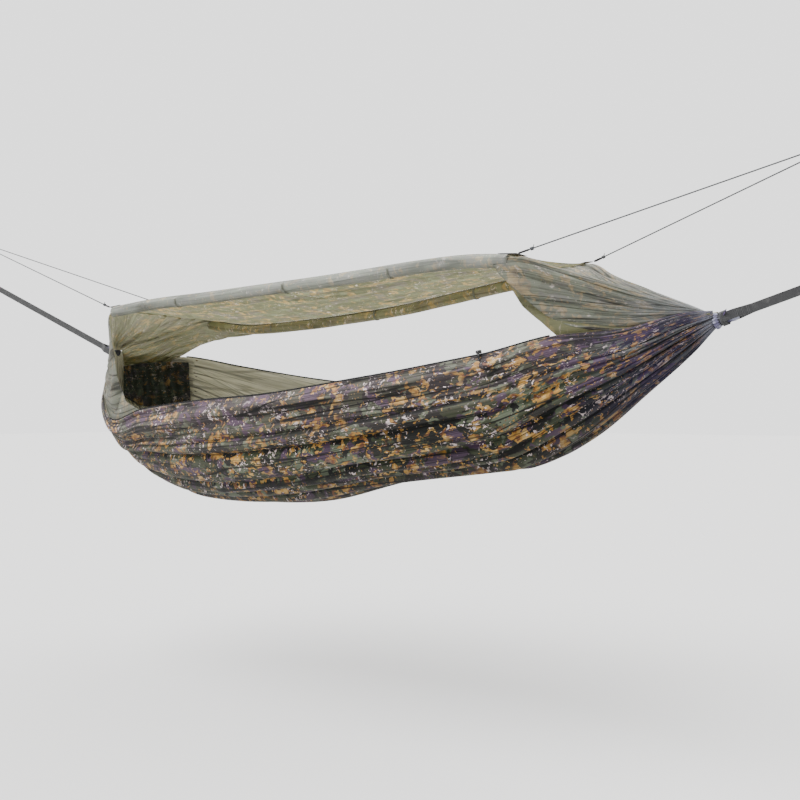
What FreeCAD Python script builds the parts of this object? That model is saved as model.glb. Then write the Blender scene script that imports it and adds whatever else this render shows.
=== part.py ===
"""Camping hammock with a fabric roof: a gathered-end bed hung on two webbing straps, and a roof with
two end hoods and two rolled side doors, held up by four guy lines.

Millimetres, +Z up. Shapes are drawn about the middle of the span, with X running from the left knot to
the right knot and -Y on the near side. Every piece is then placed so that the origin of the model is
the centre of the sewn eye at the end of the right strap.
"""
import FreeCAD, Part
import Sketcher
import math
import os

Vector = FreeCAD.Vector
SIDES = {"near": -1, "far": 1}
ENDS = {"left": -1, "right": 1}

doc = FreeCAD.newDocument("camping_hammock")
dims = doc.addObject("Spreadsheet::Sheet", "dims")
nodes = []

SIZES = {
    # the span and the bed
    "half_span": 1300,
    "bed_half_width": 330,
    "bed_depth": 588,
    "outer_skin": 3,
    "layer_gap": 1.5,
    "lining_skin": 2,
    "end_clearance": 24,
    # the roof
    "roof_half_width": 250,
    "roof_skin": 2.5,
    "hood_skin": 2,
    "door_roll_radius": 19,
    "roll_drop": 23,
    "roll_inset": 26,
    "patch_leg": 62,
    "patch_skin": 1.2,
    # where the straps and the guy lines are made fast, from the middle of the span
    "right_post": 1567,
    "left_post": 2331,
    "right_strap_rise": 83,
    "left_strap_rise": 401,
    "right_line_rise": 426,
    "left_line_rise": 571,
    "line_spacing": 16,
    # straps and gathered ends
    "strap_width": 25,
    "webbing": 2.4,
    "eye_bore": 12,
    "neck_radius": 15,
    "bulb_radius": 17.5,
    "hitch_radius": 18.4,
    "hitch_width": 16,
    "leg_lift": 0.3,
    "gather_back": 20,
    "gather_front": 36,
    "merge_at": 80,
    "whipping_cord": 1.3,
    "stitch_length": 30,
    "stitch_skin": 0.5,
    "stitch_margin": 2,
    "stitch_gap": 8,
    "stitch_lift": 0.05,
    "wrap_gap": 0.2,
    # guy lines and their shock-cord loops
    "line_radius": 2,
    "loop_start": 5,
    "loop_length": 34,
    "loop_bend": 4,
    "knot_radius": 5,
    "knot_length": 13,
    "knot_rounding": 2,
    "knot_clearance": 0.02,
    "end_ring": 14,
    # zips
    "tape_skin": 2,
    "tape_height": 10,
    "tape_lift": 0.5,
    "slider_length": 14,
    "slider_width": 9,
    "slider_height": 9,
    "slot_width": 3,
    "slot_depth": 6,
    "bridge_radius": 0.9,
    "bridge_reach": 3,
    "tab_bore": 1.1,
    "tab_eye": 2.3,
    "tab_width": 6.4,
    "tab_length": 26,
    "tab_skin": 1.5,
    "zip_left": 1060,
    "zip_straight_left": 440,
    "zip_straight_right": 700,
    "zip_right": 873,
    "slider_inset": 14,
    "tab_play": 0.3,
    "ear_wall": 0.6,
    "ear_bite": 0.01,
    "bar_inset": 0.5,
    # ties that hold the rolled doors
    "tie_width": 8,
    "tie_skin": 1.2,
    "tie_clearance": 0.4,
    "toggle_radius": 2.5,
    "toggle_length": 18,
    "toggle_bite": 0.6,
    # loose tape and cord tails at the knots
    "tail_width": 7,
    "tail_skin": 1,
    "tail_length": 30,
}

# The bed, station by station: x, (y, z) of the near rim, (y, z) of the far rim, z of the bottom.
# x is a share of half_span, y a share of bed_half_width and z a share of bed_depth.
BED_STATIONS = (
    (-1.0, (-0.050, 0.010), (0.050, 0.010), -0.030),
    (-0.977, (-0.135, -0.102), (0.121, -0.010), -0.285),
    (-0.923, (-0.394, -0.340), (0.364, -0.020), -0.640),
    (-0.815, (-0.620, -0.481), (0.600, -0.036), -0.805),
    (-0.608, (-0.818, -0.422), (0.818, -0.119), -0.962),
    (-0.338, (-0.955, -0.371), (0.955, -0.213), -1.000),
    (-0.077, (-1.000, -0.337), (1.000, -0.272), -0.961),
    (0.200, (-1.000, -0.267), (1.000, -0.267), -0.828),
    (0.3385, (-0.970, -0.228), (0.970, -0.228), -0.779),
    (0.5385, (-0.830, -0.156), (0.830, -0.156), -0.711),
    (0.6715, (-0.620, -0.075), (0.620, -0.075), -0.590),
    (0.815, (-0.340, -0.040), (0.340, -0.040), -0.370),
    (0.936, (-0.125, 0.000), (0.125, 0.000), -0.160),
    (1.0, (-0.050, 0.010), (0.050, 0.010), -0.030),
)
FULLNESS = 0.85  # under 1, the bed hangs fuller than an ellipse
WALL_STEPS = 16  # flats from rim to rim

# Roof edges: x, then the height of the near edge, of the middle and of the far edge.
ROOF_STATIONS = (
    (-1000, 150, 140, 141),
    (-760, 166, 128, 108),
    (-460, 172, 124, 109),
    (-200, 179, 134, 121),
    (30, 185, 146, 139),
    (250, 193, 162, 166),
    (450, 202, 178, 192),
    (640, 203, 190, 212),
    (795, 190, 196, 228),
)

# Hoods: x, then (y, z) of the near hem, near crest, valley, far crest and far hem.
RIGHT_HOOD = (
    (801, (-254, 108), (-247, 188), (0, 176), (245, 224), (254, 110)),
    (900, (-196, 18), (-201, 152), (0, 128), (189, 172), (196, 18)),
    (1030, (-134, 4), (-136, 103), (0, 84), (128, 117), (134, 4)),
    (1130, (-84, 12), (-86, 65), (0, 54), (81, 74), (84, 12)),
    (1200, (-52, 24), (-50, 40), (0, 34), (47, 44), (52, 24)),
)
# Panels inside the ends, as columns from one end of the panel to the other: low point, high point.
RIGHT_LINING = (
    ((862, 196, -30), (812, 226, 140)),
    ((925, 162, -22), (900, 178, 118)),
    ((1040, 106, -8), (1040, 112, 78)),
)
LEFT_PANEL = (
    ((-1012, 176, -212), (-1030, 178, -45)),
    ((-1120, 132, -235), (-1130, 138, -40)),
    ((-1200, 72, -228), (-1205, 78, -48)),
    ((-1240, 8, -190), (-1243, 10, -62)),
)
LEFT_HOOD = (
    (-1006, (-254, 20), (-246, 147), (0, 131), (246, 137), (254, 30)),
    (-1100, (-196, -225), (-167, 100), (0, 88), (167, 94), (204, 8)),
    (-1200, (-140, -170), (-84, 52), (0, 46), (84, 50), (126, 10)),
    (-1250, (-92, -70), (-45, 30), (0, 27), (45, 30), (72, 18)),
)


def size(name):
    """A driving size as a plain number."""
    return float(dims.get(name))


def fill_sheet():
    for row, (name, value) in enumerate(SIZES.items(), start=1):
        dims.set(f"A{row}", name)
        dims.set(f"B{row}", str(value))
        dims.setAlias(f"B{row}", name)
    doc.recompute()


fill_sheet()
ORIGIN = Vector(size("right_post"), 0, size("right_strap_rise"))


# ---- places -------------------------------------------------------------------------------------

def placed(base, along=Vector(1, 0, 0), up=Vector(0, 0, 1)):
    """A placement at base whose X runs along a direction and whose Z leans towards up."""
    x_axis = Vector(along).normalize()
    y_axis = up.cross(x_axis).normalize()
    z_axis = x_axis.cross(y_axis)
    return FreeCAD.Placement(base - ORIGIN, FreeCAD.Rotation(x_axis, y_axis, z_axis, "XYZ"))


def knot_point(end):
    return Vector(ENDS[end] * size("half_span"), 0, 0)


def strap_end(end):
    return Vector(ENDS[end] * size(f"{end}_post"), 0, size(f"{end}_strap_rise"))


def strap_placement(end):
    """The frame of a strap: origin at the knot, X towards the sewn eye."""
    return placed(knot_point(end), strap_end(end) - knot_point(end))


def edge_height(station, side):
    return station[1] if side == "near" else station[3]


def roof_corner(side, end):
    """A corner of the roof, at the middle of its skin."""
    station = ROOF_STATIONS[0] if end == "left" else ROOF_STATIONS[-1]
    half_width = SIDES[side] * size("roof_half_width")
    return Vector(station[0], half_width, edge_height(station, side))


def line_end(side, end):
    """Where a guy line is made fast."""
    along = ENDS[end] * size(f"{end}_post")
    return Vector(along, SIDES[side] * size("line_spacing"), size(f"{end}_line_rise"))


def line_placement(side, end):
    """The frame of a guy line: origin at the roof's corner, X towards the line's far end."""
    corner = roof_corner(side, end)
    return placed(corner, line_end(side, end) - corner)


def bed_point(station, angle, inset):
    """A point of the bed's wall: angle 0 is the near rim, 90 the bottom and 180 the far rim."""
    x_share, near, far, bottom = station
    rim_y, rim_z = near if angle <= 90 else far
    sine = math.sin(math.radians(angle)) ** FULLNESS
    cosine = abs(math.cos(math.radians(angle))) ** FULLNESS
    y = rim_y * size("bed_half_width") * cosine
    low = bottom * size("bed_depth")
    z = rim_z * size("bed_depth") + (low - rim_z * size("bed_depth")) * sine
    turned = math.radians(180 + angle)
    inward = Vector(0, -math.cos(turned), -math.sin(turned))
    share = min(1.0, abs(rim_y) * size("bed_half_width") / 60)
    step = inset * (0.55 + 0.45 * share)
    reach = size("half_span") - size("end_clearance")
    x = max(-reach, min(reach, x_share * size("half_span")))
    return Vector(x, y, z) + inward * step


def rim_point(side, at):
    """The point of a rim at this x, on the straight line between two stations."""
    angle = 0 if side == "near" else 180
    inset = size("outer_skin") / 2
    points = [bed_point(station, angle, inset) for station in BED_STATIONS]
    for low, high in zip(points, points[1:]):
        if low.x <= at <= high.x:
            return low + (high - low) * ((at - low.x) / (high.x - low.x))
    raise ValueError(f"no rim at {at}")


# ---- making nodes -------------------------------------------------------------------------------

def node(piece, name, placement=None):
    """Names a finished piece as a node and puts it in place."""
    piece.Label = name
    if placement is not None:
        piece.Placement = placement
    nodes.append(piece)
    return piece


def skin_node(name, shape):
    """A node whose shape is worked out from stations instead of from one feature."""
    piece = doc.addObject("Part::Feature", name)
    piece.Shape = shape
    return node(piece, name, FreeCAD.Placement(-ORIGIN, FreeCAD.Rotation()))


def primitive(kind, name, placement=None, **bound):
    """A Part primitive with its properties bound to expressions."""
    piece = doc.addObject(f"Part::{kind}", name)
    for prop, expression in bound.items():
        piece.setExpression(prop, expression)
    if placement is not None:
        piece.Placement = placement
    return piece


def local(x, y=0.0, z=0.0, axis=Vector(0, 0, 1), turn=0.0):
    """A placement inside a piece's own frame."""
    return FreeCAD.Placement(Vector(x, y, z), FreeCAD.Rotation(axis, turn))


def fused(name, parts):
    piece = doc.addObject("Part::MultiFuse", name)
    piece.Shapes = parts
    return piece


def grouped(name, parts):
    """Separate solids that share one node."""
    piece = doc.addObject("Part::Compound", name)
    piece.Links = parts
    return piece


def new_body(name):
    return doc.addObject("PartDesign::Body", name)


def new_sketch(body, name, role):
    sketch = body.newObject("Sketcher::SketchObject", name)
    plane = next(f for f in body.Origin.OriginFeatures if f.Role == role)
    sketch.AttachmentSupport = [(plane, "")]
    sketch.MapMode = "FlatFace"
    return sketch


def bind(sketch, constraint, expression):
    """Adds a constraint and binds its value to the sheet."""
    index = sketch.addConstraint(constraint)
    sketch.setExpression(f"Constraints[{index}]", expression)


def outline(sketch, corners):
    """A closed outline whose corners are pairs of (number, expression)."""
    places = [Vector(x[0], y[0], 0) for x, y in corners]
    count = len(places)
    for index in range(count):
        sketch.addGeometry(Part.LineSegment(places[index], places[(index + 1) % count]))
    for index in range(count):
        sketch.addConstraint(Sketcher.Constraint("Coincident", index, 2, (index + 1) % count, 1))
    for index, corner in enumerate(corners):
        for kind, (value, expression) in zip(("DistanceX", "DistanceY"), corner):
            if abs(value) < 1e-9:
                axis = -2 if kind == "DistanceX" else -1
                sketch.addConstraint(Sketcher.Constraint("PointOnObject", index, 1, axis))
            elif value > 0:
                bind(sketch, Sketcher.Constraint(kind, -1, 1, index, 1, value), expression)
            else:
                bind(sketch, Sketcher.Constraint(kind, index, 1, -1, 1, -value), f"-({expression})")


def circle(sketch, centre, radius, centre_expression=None, radius_expression=None):
    """A circle on the sketch's X axis."""
    index = sketch.addGeometry(Part.Circle(Vector(centre, 0, 0), Vector(0, 0, 1), radius))
    if centre_expression is None:
        sketch.addConstraint(Sketcher.Constraint("Coincident", index, 3, -1, 1))
    else:
        sketch.addConstraint(Sketcher.Constraint("PointOnObject", index, 3, -1))
        bind(sketch, Sketcher.Constraint("DistanceX", -1, 1, index, 3, centre), centre_expression)
    bind(sketch, Sketcher.Constraint("Radius", index, radius), radius_expression)


def sheet_value(expression):
    """The value of an expression, read back from a cell of the sheet."""
    dims.set("D1", f"={expression.replace('dims.', '')}")
    dims.recompute()
    return float(dims.get("D1"))


def value(expression):
    """The pair that outline() takes: an expression of the sheet's sizes, with its present value."""
    return sheet_value(expression), expression


def negative(pair):
    """The same size on the other side of the axis."""
    return -pair[0], f"-({pair[1]})"


def extrude(body, name, sketch, kind, length):
    """A pad or pocket, the same distance to both sides of its sketch."""
    feature = body.newObject(f"PartDesign::{kind}", name)
    feature.Profile = sketch
    feature.SideType = "Symmetric"
    feature.setExpression("Length", length)
    return feature


# ---- bed ----------------------------------------------------------------------------------------

def bed_shell(name, outside, inside):
    """One layer of the bed, between two insets from its outer face."""
    angles = [180 * step / WALL_STEPS for step in range(WALL_STEPS + 1)]
    wires = []
    for station in BED_STATIONS:
        ring = [bed_point(station, angle, outside) for angle in angles]
        ring += [bed_point(station, angle, inside) for angle in reversed(angles)]
        wires.append(Part.makePolygon(ring + ring[:1]))
    skin_node(name, Part.makeLoft(wires, True, True))


def make_bed():
    lining_outside = size("outer_skin") + size("layer_gap")
    bed_shell("bed_outer_layer", 0, size("outer_skin"))
    bed_shell("bed_inner_layer", lining_outside, lining_outside + size("lining_skin"))


def zip_tape(side):
    """The zip's tape, standing on the rim. It is straight where its slider runs."""
    places = [-size("zip_left")]
    places += [share * size("half_span") for share, *_ in BED_STATIONS[4:10]]
    places += [size("zip_right") - 1]
    half = size("tape_skin") / 2
    low = size("tape_lift")
    high = low + size("tape_height")
    wires = []
    for at in places:
        foot = rim_point(side, at)
        section = ((-half, low), (half, low), (half, high), (-half, high))
        ring = [foot + Vector(0, y, z) for y, z in section]
        wires.append(Part.makePolygon(ring + ring[:1]))
    skin_node(f"{side}_zip_tape", Part.makeLoft(wires, True, True))


def slider_frame(side):
    """The frame of a zip slider: X along the straight stretch of the zip, origin at the slider."""
    start = rim_point(side, size("zip_straight_left") + 1)
    end = rim_point(side, size("zip_straight_right") - 1)
    along = (end - start).normalize()
    lift = size("tape_lift") + size("tape_height")
    base = end - along * size("slider_inset") + Vector(0, 0, lift)
    return placed(base, along)


def zip_slider(side):
    """A slider: a block with a slot for the tape, and a bridge on its outer face for the pull tab."""
    body = new_body(f"{side}_slider_body")
    sign = SIDES[side]
    block = new_sketch(body, f"{side}_slider_section", "YZ_Plane")
    half_width = value("dims.slider_width / 2")
    half_height = value("dims.slider_height / 2")
    outline(block, [
        (negative(half_width), negative(half_height)),
        (half_width, negative(half_height)),
        (half_width, half_height),
        (negative(half_width), half_height),
    ])
    extrude(body, f"{side}_slider_block", block, "Pad", "dims.slider_length")
    slot = new_sketch(body, f"{side}_slot_section", "YZ_Plane")
    half_slot = value("dims.slot_width / 2")
    slot_top = value("dims.slot_depth - dims.slider_height / 2")
    slot_foot = value("-dims.slider_height")
    outline(slot, [
        (negative(half_slot), slot_foot),
        (half_slot, slot_foot),
        (half_slot, slot_top),
        (negative(half_slot), slot_top),
    ])
    extrude(body, f"{side}_slot", slot, "Pocket", "dims.slider_length * 2")
    doc.recompute()
    ears = []
    reach = size("slider_width") / 2
    ear_x = size("tab_width") / 2 + size("tab_play")
    for index, direction in enumerate((-1, 1)):
        ear = primitive("Box", f"{side}_ear_{index}",
                        Length="dims.slider_length / 2 - dims.tab_width / 2 - dims.tab_play",
                        Width="dims.bridge_reach + dims.bridge_radius + dims.ear_wall",
                        Height="(dims.bridge_radius + dims.ear_wall) * 2")
        start_x = ear_x if direction > 0 else -size("slider_length") / 2
        depth = size("bridge_reach") + size("bridge_radius") + size("ear_wall")
        start_y = reach - size("ear_bite") if sign > 0 else -reach - depth + size("ear_bite")
        ear.Placement = local(start_x, start_y, -size("bridge_radius") - size("ear_wall"))
        ears.append(ear)
    bar_x = size("bar_inset") - size("slider_length") / 2
    bar_y = sign * (reach + size("bridge_reach"))
    bar = primitive("Cylinder", f"{side}_bridge", local(bar_x, bar_y, 0, Vector(0, 1, 0), 90),
                    Radius="dims.bridge_radius", Height="dims.slider_length - 2 * dims.bar_inset")
    slider = fused(f"{side}_zip_slider", [body, bar] + ears)
    node(slider, f"{side}_zip_slider", slider_frame(side))


def zip_pull(side):
    """A pull tab that hangs from the slider's bridge."""
    reach = SIDES[side] * (size("slider_width") / 2 + size("bridge_reach"))
    half = size("tab_width") / 2
    eye = primitive("Cylinder", f"{side}_tab_eye", local(-half, reach, 0, Vector(0, 1, 0), 90),
                    Radius="dims.tab_eye", Height="dims.tab_width")
    plate = primitive("Box", f"{side}_tab_plate",
                      local(-half, reach - size("tab_skin") / 2, -size("tab_length")),
                      Length="dims.tab_width", Width="dims.tab_skin", Height="dims.tab_length")
    bore = primitive("Cylinder", f"{side}_tab_bore", local(-2 * half, reach, 0, Vector(0, 1, 0), 90),
                     Radius="dims.tab_bore", Height="dims.tab_width * 2")
    tab = doc.addObject("Part::Cut", f"{side}_zip_pull")
    tab.Base = fused(f"{side}_tab_blank", [eye, plate])
    tab.Tool = bore
    node(tab, f"{side}_zip_pull", slider_frame(side))


# ---- gathered ends and straps -------------------------------------------------------------------

def end_gather(end):
    """The bunched end of the fabric: a neck that the strap grips and a bulb beyond it."""
    body = new_body(f"{end}_gather_body")
    sketch = new_sketch(body, f"{end}_gather_profile", "XY_Plane")
    zero = (0.0, "0")
    neck = value("dims.neck_radius")
    back = value("-dims.gather_back")
    front = value("dims.gather_front")
    outline(sketch, [
        (back, zero),
        (back, neck),
        (value("dims.hitch_width / 2 + 2"), neck),
        (value("dims.gather_front - 14"), value("dims.bulb_radius")),
        (value("dims.gather_front - 5"), value("dims.bulb_radius - 2")),
        (front, value("dims.bulb_radius / 2")),
        (front, zero),
    ])
    turned = body.newObject("PartDesign::Revolution", f"{end}_gather_turned")
    turned.Profile = sketch
    turned.ReferenceAxis = (sketch, ["H_Axis"])
    turned.Angle = 360
    node(body, f"{end}_end_gather", strap_placement(end))


def whipping(end):
    """Three turns of cord round the neck, behind the strap."""
    turns = []
    pitch = 2.1 * size("whipping_cord")
    first = -size("gather_back") + 2.5
    for index in range(3):
        turn = primitive("Torus", f"{end}_turn_{index}",
                         local(first + index * pitch, 0, 0, Vector(0, 1, 0), 90),
                         Radius1="dims.neck_radius + dims.whipping_cord + dims.wrap_gap",
                         Radius2="dims.whipping_cord")
        turns.append(turn)
    node(grouped(f"{end}_whipping", turns), f"{end}_whipping", strap_placement(end))


def strap(end):
    """A webbing strap: hitched round the neck, two legs that merge, and a sewn eye at its far end."""
    reach = (strap_end(end) - knot_point(end)).Length
    dims.set("F1" if end == "right" else "F2", str(reach))
    dims.setAlias("F1" if end == "right" else "F2", f"{end}_strap_reach")
    doc.recompute()
    body = new_body(f"{end}_strap_body")
    legs = new_sketch(body, f"{end}_strap_edge", "XY_Plane")
    zero = (0.0, "0")
    outer = value("dims.hitch_radius + dims.webbing + dims.leg_lift")
    inner = value("dims.hitch_radius + dims.leg_lift")
    web = value("dims.webbing")
    shoulder = value("dims.gather_front + 1")
    merge = value("dims.merge_at")
    crotch = value("dims.merge_at - 6")
    root = value(f"dims.{end}_strap_reach - dims.eye_bore - dims.webbing / 2")
    outline(legs, [
        (zero, outer),
        (shoulder, outer),
        (merge, web),
        (root, web),
        (root, negative(web)),
        (merge, negative(web)),
        (shoulder, negative(outer)),
        (zero, negative(outer)),
        (zero, negative(inner)),
        (shoulder, negative(inner)),
        (crotch, zero),
        (shoulder, inner),
        (zero, inner),
    ])
    extrude(body, f"{end}_strap_legs", legs, "Pad", "dims.strap_width")
    ring = new_sketch(body, f"{end}_hitch_ring", "YZ_Plane")
    circle(ring, 0, size("hitch_radius"), None, "dims.hitch_radius")
    circle(ring, 0, size("hitch_radius") + size("webbing"), None, "dims.hitch_radius + dims.webbing")
    extrude(body, f"{end}_hitch", ring, "Pad", "dims.hitch_width")
    centre = f"dims.{end}_strap_reach"
    eye = new_sketch(body, f"{end}_eye_outside", "XY_Plane")
    circle(eye, reach, size("eye_bore") + size("webbing"), centre, "dims.eye_bore + dims.webbing")
    extrude(body, f"{end}_eye", eye, "Pad", "dims.strap_width")
    bore = new_sketch(body, f"{end}_eye_inside", "XY_Plane")
    circle(bore, reach, size("eye_bore"), centre, "dims.eye_bore")
    extrude(body, f"{end}_eye_bore", bore, "Pocket", "dims.strap_width * 2")
    node(body, f"{end}_strap", strap_placement(end))


def strap_stitching(end):
    """The raised block of stitching that closes the eye, one patch on each face of the strap."""
    reach = (strap_end(end) - knot_point(end)).Length
    start = reach - size("eye_bore") - size("stitch_gap") - size("stitch_length")
    foot = size("stitch_margin") - size("strap_width") / 2
    out = size("webbing") + size("stitch_lift")
    patches = []
    for index, low in enumerate((out, -out - size("stitch_skin"))):
        patch = primitive("Box", f"{end}_stitching_{index}", local(start, low, foot),
                          Length="dims.stitch_length", Width="dims.stitch_skin",
                          Height="dims.strap_width - 2 * dims.stitch_margin")
        patches.append(patch)
    node(grouped(f"{end}_strap_stitching", patches), f"{end}_strap_stitching", strap_placement(end))


def knot_tails(end, turns):
    """Short loose tape ends that stand off the neck."""
    tails = []
    for index, (turn, lean) in enumerate(turns):
        tail = primitive("Box", f"{end}_tail_{index}", Length="dims.tail_length",
                         Width="dims.tail_width", Height="dims.tail_skin")
        around = FreeCAD.Rotation(Vector(1, 0, 0), turn)
        outward = size("neck_radius") + 3 * size("whipping_cord") + 2
        base = around.multVec(Vector(4 - size("gather_back"), 0, outward))
        tail.Placement = FreeCAD.Placement(base, around * FreeCAD.Rotation(Vector(0, 1, 0), lean))
        tails.append(tail)
    node(grouped(f"{end}_knot_tails", tails), f"{end}_knot_tails", strap_placement(end))


# ---- roof ---------------------------------------------------------------------------------------

def make_roof():
    half_width = size("roof_half_width")
    half_skin = size("roof_skin") / 2
    wires = []
    for x, near, middle, far in ROOF_STATIONS:
        line = [(-half_width, near), (-half_width / 2, (near + middle) / 2 - 4), (0, middle),
                (half_width / 2, (far + middle) / 2 - 4), (half_width, far)]
        ring = [Vector(x, y, z + half_skin) for y, z in line]
        ring += [Vector(x, y, z - half_skin) for y, z in reversed(line)]
        wires.append(Part.makePolygon(ring + ring[:1]))
    skin_node("roof_panel", Part.makeLoft(wires, True, True))


def edge_at(side, x):
    """The height of a roof edge at x, on the straight line between two stations."""
    for low, high in zip(ROOF_STATIONS, ROOF_STATIONS[1:]):
        if low[0] <= x <= high[0]:
            share = (x - low[0]) / (high[0] - low[0])
            return edge_height(low, side) * (1 - share) + edge_height(high, side) * share
    raise ValueError(f"no roof at {x}")


def rolled_door(side):
    """A side door rolled up under its edge of the roof."""
    places = [station[0] for station in ROOF_STATIONS]
    places[0] += size("roll_inset")
    places[-1] -= size("roll_inset")
    wires = []
    for x in places:
        centre = Vector(x, SIDES[side] * size("roof_half_width"), edge_at(side, x) - size("roll_drop"))
        ring = Part.Circle(centre, Vector(1, 0, 0), size("door_roll_radius"))
        wires.append(Part.Wire(ring.toShape()))
    skin_node(f"{side}_rolled_door", Part.makeLoft(wires, True, True))


def edge_direction(side, index):
    low, high = ROOF_STATIONS[index], ROOF_STATIONS[index + 1]
    return Vector(high[0] - low[0], 0, edge_height(high, side) - edge_height(low, side))


def door_ties(side):
    """Three elastic ties with toggles round each rolled door."""
    ties = []
    for number, index in enumerate((1, 3, 5)):
        low, high = ROOF_STATIONS[index], ROOF_STATIONS[index + 1]
        height = (edge_height(low, side) + edge_height(high, side)) / 2 - size("roll_drop")
        base = Vector((low[0] + high[0]) / 2, SIDES[side] * size("roof_half_width"), height)
        middle = local(0, 0, 0, Vector(0, 1, 0), 90)
        outside = primitive("Cylinder", f"{side}_tie_outside_{number}", middle,
                            Radius="dims.door_roll_radius + dims.tie_clearance + dims.tie_skin",
                            Height="dims.tie_width")
        inside = primitive("Cylinder", f"{side}_tie_inside_{number}", middle,
                           Radius="dims.door_roll_radius + dims.tie_clearance", Height="dims.tie_width")
        band = doc.addObject("Part::Cut", f"{side}_tie_band_{number}")
        band.Base = outside
        band.Tool = inside
        band_radius = size("door_roll_radius") + size("tie_clearance") + size("tie_skin")
        out = band_radius + size("toggle_radius") - size("toggle_bite")
        toggle = primitive("Cylinder", f"{side}_toggle_{number}",
                           local(size("tie_width") / 2, SIDES[side] * out, -size("toggle_length") / 2),
                           Radius="dims.toggle_radius", Height="dims.toggle_length")
        tie = fused(f"{side}_tie_{number}", [band, toggle])
        slope = edge_direction(side, index)
        tie.Placement = FreeCAD.Placement(base, placed(base, slope).Rotation)
        ties.append(tie)
    node(grouped(f"{side}_door_ties", ties), f"{side}_door_ties",
         FreeCAD.Placement(-ORIGIN, FreeCAD.Rotation()))


def corner_patch(side, end):
    """A triangular reinforcement on top of a corner of the roof."""
    body = new_body(f"{side}_{end}_patch_body")
    sketch = new_sketch(body, f"{side}_{end}_patch_outline", "XY_Plane")
    leg = value("dims.patch_leg")
    zero = (0.0, "0")
    outline(sketch, [(zero, zero), (leg, zero), (zero, leg)])
    pad = body.newObject("PartDesign::Pad", f"{side}_{end}_patch_pad")
    pad.Profile = sketch
    pad.setExpression("Length", "dims.patch_skin")
    corner = roof_corner(side, end)
    inner = ROOF_STATIONS[1] if end == "left" else ROOF_STATIONS[-2]
    along = Vector(inner[0], corner.y, edge_height(inner, side)) - corner
    station = ROOF_STATIONS[0] if end == "left" else ROOF_STATIONS[-1]
    quarter = (edge_height(station, side) + station[2]) / 2 - 4
    across = Vector(corner.x, corner.y / 2, quarter) - corner
    x_axis = along.normalize()
    up = x_axis.cross(across).normalize()
    upwards = up if up.z > 0 else -up
    y_axis = upwards.cross(x_axis)
    if y_axis.dot(across) < 0:  # the two legs swap where the corner is turned the other way
        x_axis, y_axis = y_axis * -1, x_axis
    lift = size("roof_skin") / 2 + 0.5
    base = corner + upwards * lift - ORIGIN
    node(body, f"{side}_{end}_corner_patch",
         FreeCAD.Placement(base, FreeCAD.Rotation(x_axis, y_axis, upwards, "XYZ")))


def hood_shell(name, stations):
    """A hood from an end of the roof to the gathered end: five points a section, with two crests."""
    skin = size("hood_skin")
    wires = []
    for x, *line in stations:
        ring = [Vector(x, y, z) for y, z in line]
        middle = sum(y for y, _ in line) / len(line)
        inner = []
        for index, (y, z) in enumerate(line):
            if index in (0, len(line) - 1):
                inner.append(Vector(x, y + (skin if y < middle else -skin), z))
            elif index == 2:
                inner.append(Vector(x, y, z - skin))
            else:
                inner.append(Vector(x, y + (skin if y < middle else -skin), z - skin))
        ring += list(reversed(inner))
        wires.append(Part.makePolygon(ring + ring[:1]))
    skin_node(name, Part.makeLoft(wires, True, True))


def hanging_panels(name, panels):
    """Thin panels, each a list of columns from a low point to a high point."""
    skin = Vector(0, size("hood_skin") / 2, 0)
    shapes = []
    for columns in panels:
        wires = []
        for low, high in columns:
            foot, head = Vector(*low), Vector(*high)
            ring = [foot - skin, head - skin, head + skin, foot + skin]
            wires.append(Part.makePolygon(ring + ring[:1]))
        shapes.append(Part.makeLoft(wires, True, True))
    skin_node(name, shapes[0] if len(shapes) == 1 else Part.makeCompound(shapes))


def mirrored(columns):
    """The same columns on the other side of the middle."""
    return [((x0, -y0, z0), (x1, -y1, z1)) for (x0, y0, z0), (x1, y1, z1) in columns]


# ---- guy lines ----------------------------------------------------------------------------------

def shock_loop(side, end):
    """An elastic loop at a corner of the roof: two strands joined by half turns."""
    label = f"{side}_{end}"
    start = size("loop_start") + size("loop_bend") + size("line_radius")
    reach = size("loop_length") - 2 * (size("loop_bend") + size("line_radius"))
    parts = []
    for index, direction in enumerate((-1, 1)):
        strand = primitive("Cylinder", f"{label}_strand_{index}",
                           local(start, direction * size("loop_bend"), 0, Vector(0, 1, 0), 90),
                           Radius="dims.line_radius",
                           Height="dims.loop_length - 2 * (dims.loop_bend + dims.line_radius)")
        bend_at = start + (reach if direction > 0 else 0)
        bend = primitive("Torus", f"{label}_bend_{index}",
                         local(bend_at, 0, 0, Vector(0, 0, 1), -90 * direction),
                         Radius1="dims.loop_bend", Radius2="dims.line_radius")
        bend.Angle3 = 180
        parts += [strand, bend]
    node(fused(f"{label}_shock_loop", parts), f"{label}_shock_loop", line_placement(side, end))


def line_knot(side, end):
    """The knot that joins the guy line to its loop."""
    label = f"{side}_{end}"
    start = size("loop_start") + size("loop_length") + size("knot_clearance")
    barrel = primitive("Cylinder", f"{label}_barrel",
                       Radius="dims.knot_radius", Height="dims.knot_length")
    doc.recompute()
    rounding = size("knot_rounding")
    rounded = doc.addObject("Part::Fillet", f"{label}_knot")
    rounded.Base = barrel
    rounded.Edges = [(1, rounding, rounding), (3, rounding, rounding)]
    along = line_placement(side, end)
    shift = along.Rotation.multVec(Vector(start, 0, 0))
    upright = FreeCAD.Rotation(Vector(0, 1, 0), 90)
    node(rounded, f"{label}_line_knot", FreeCAD.Placement(along.Base + shift, along.Rotation * upright))


def line_start():
    """Distance from the roof's corner to the start of the cord, past the knot."""
    before = size("loop_start") + size("loop_length") + size("knot_length")
    return before + 2 * size("knot_clearance")


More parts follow.
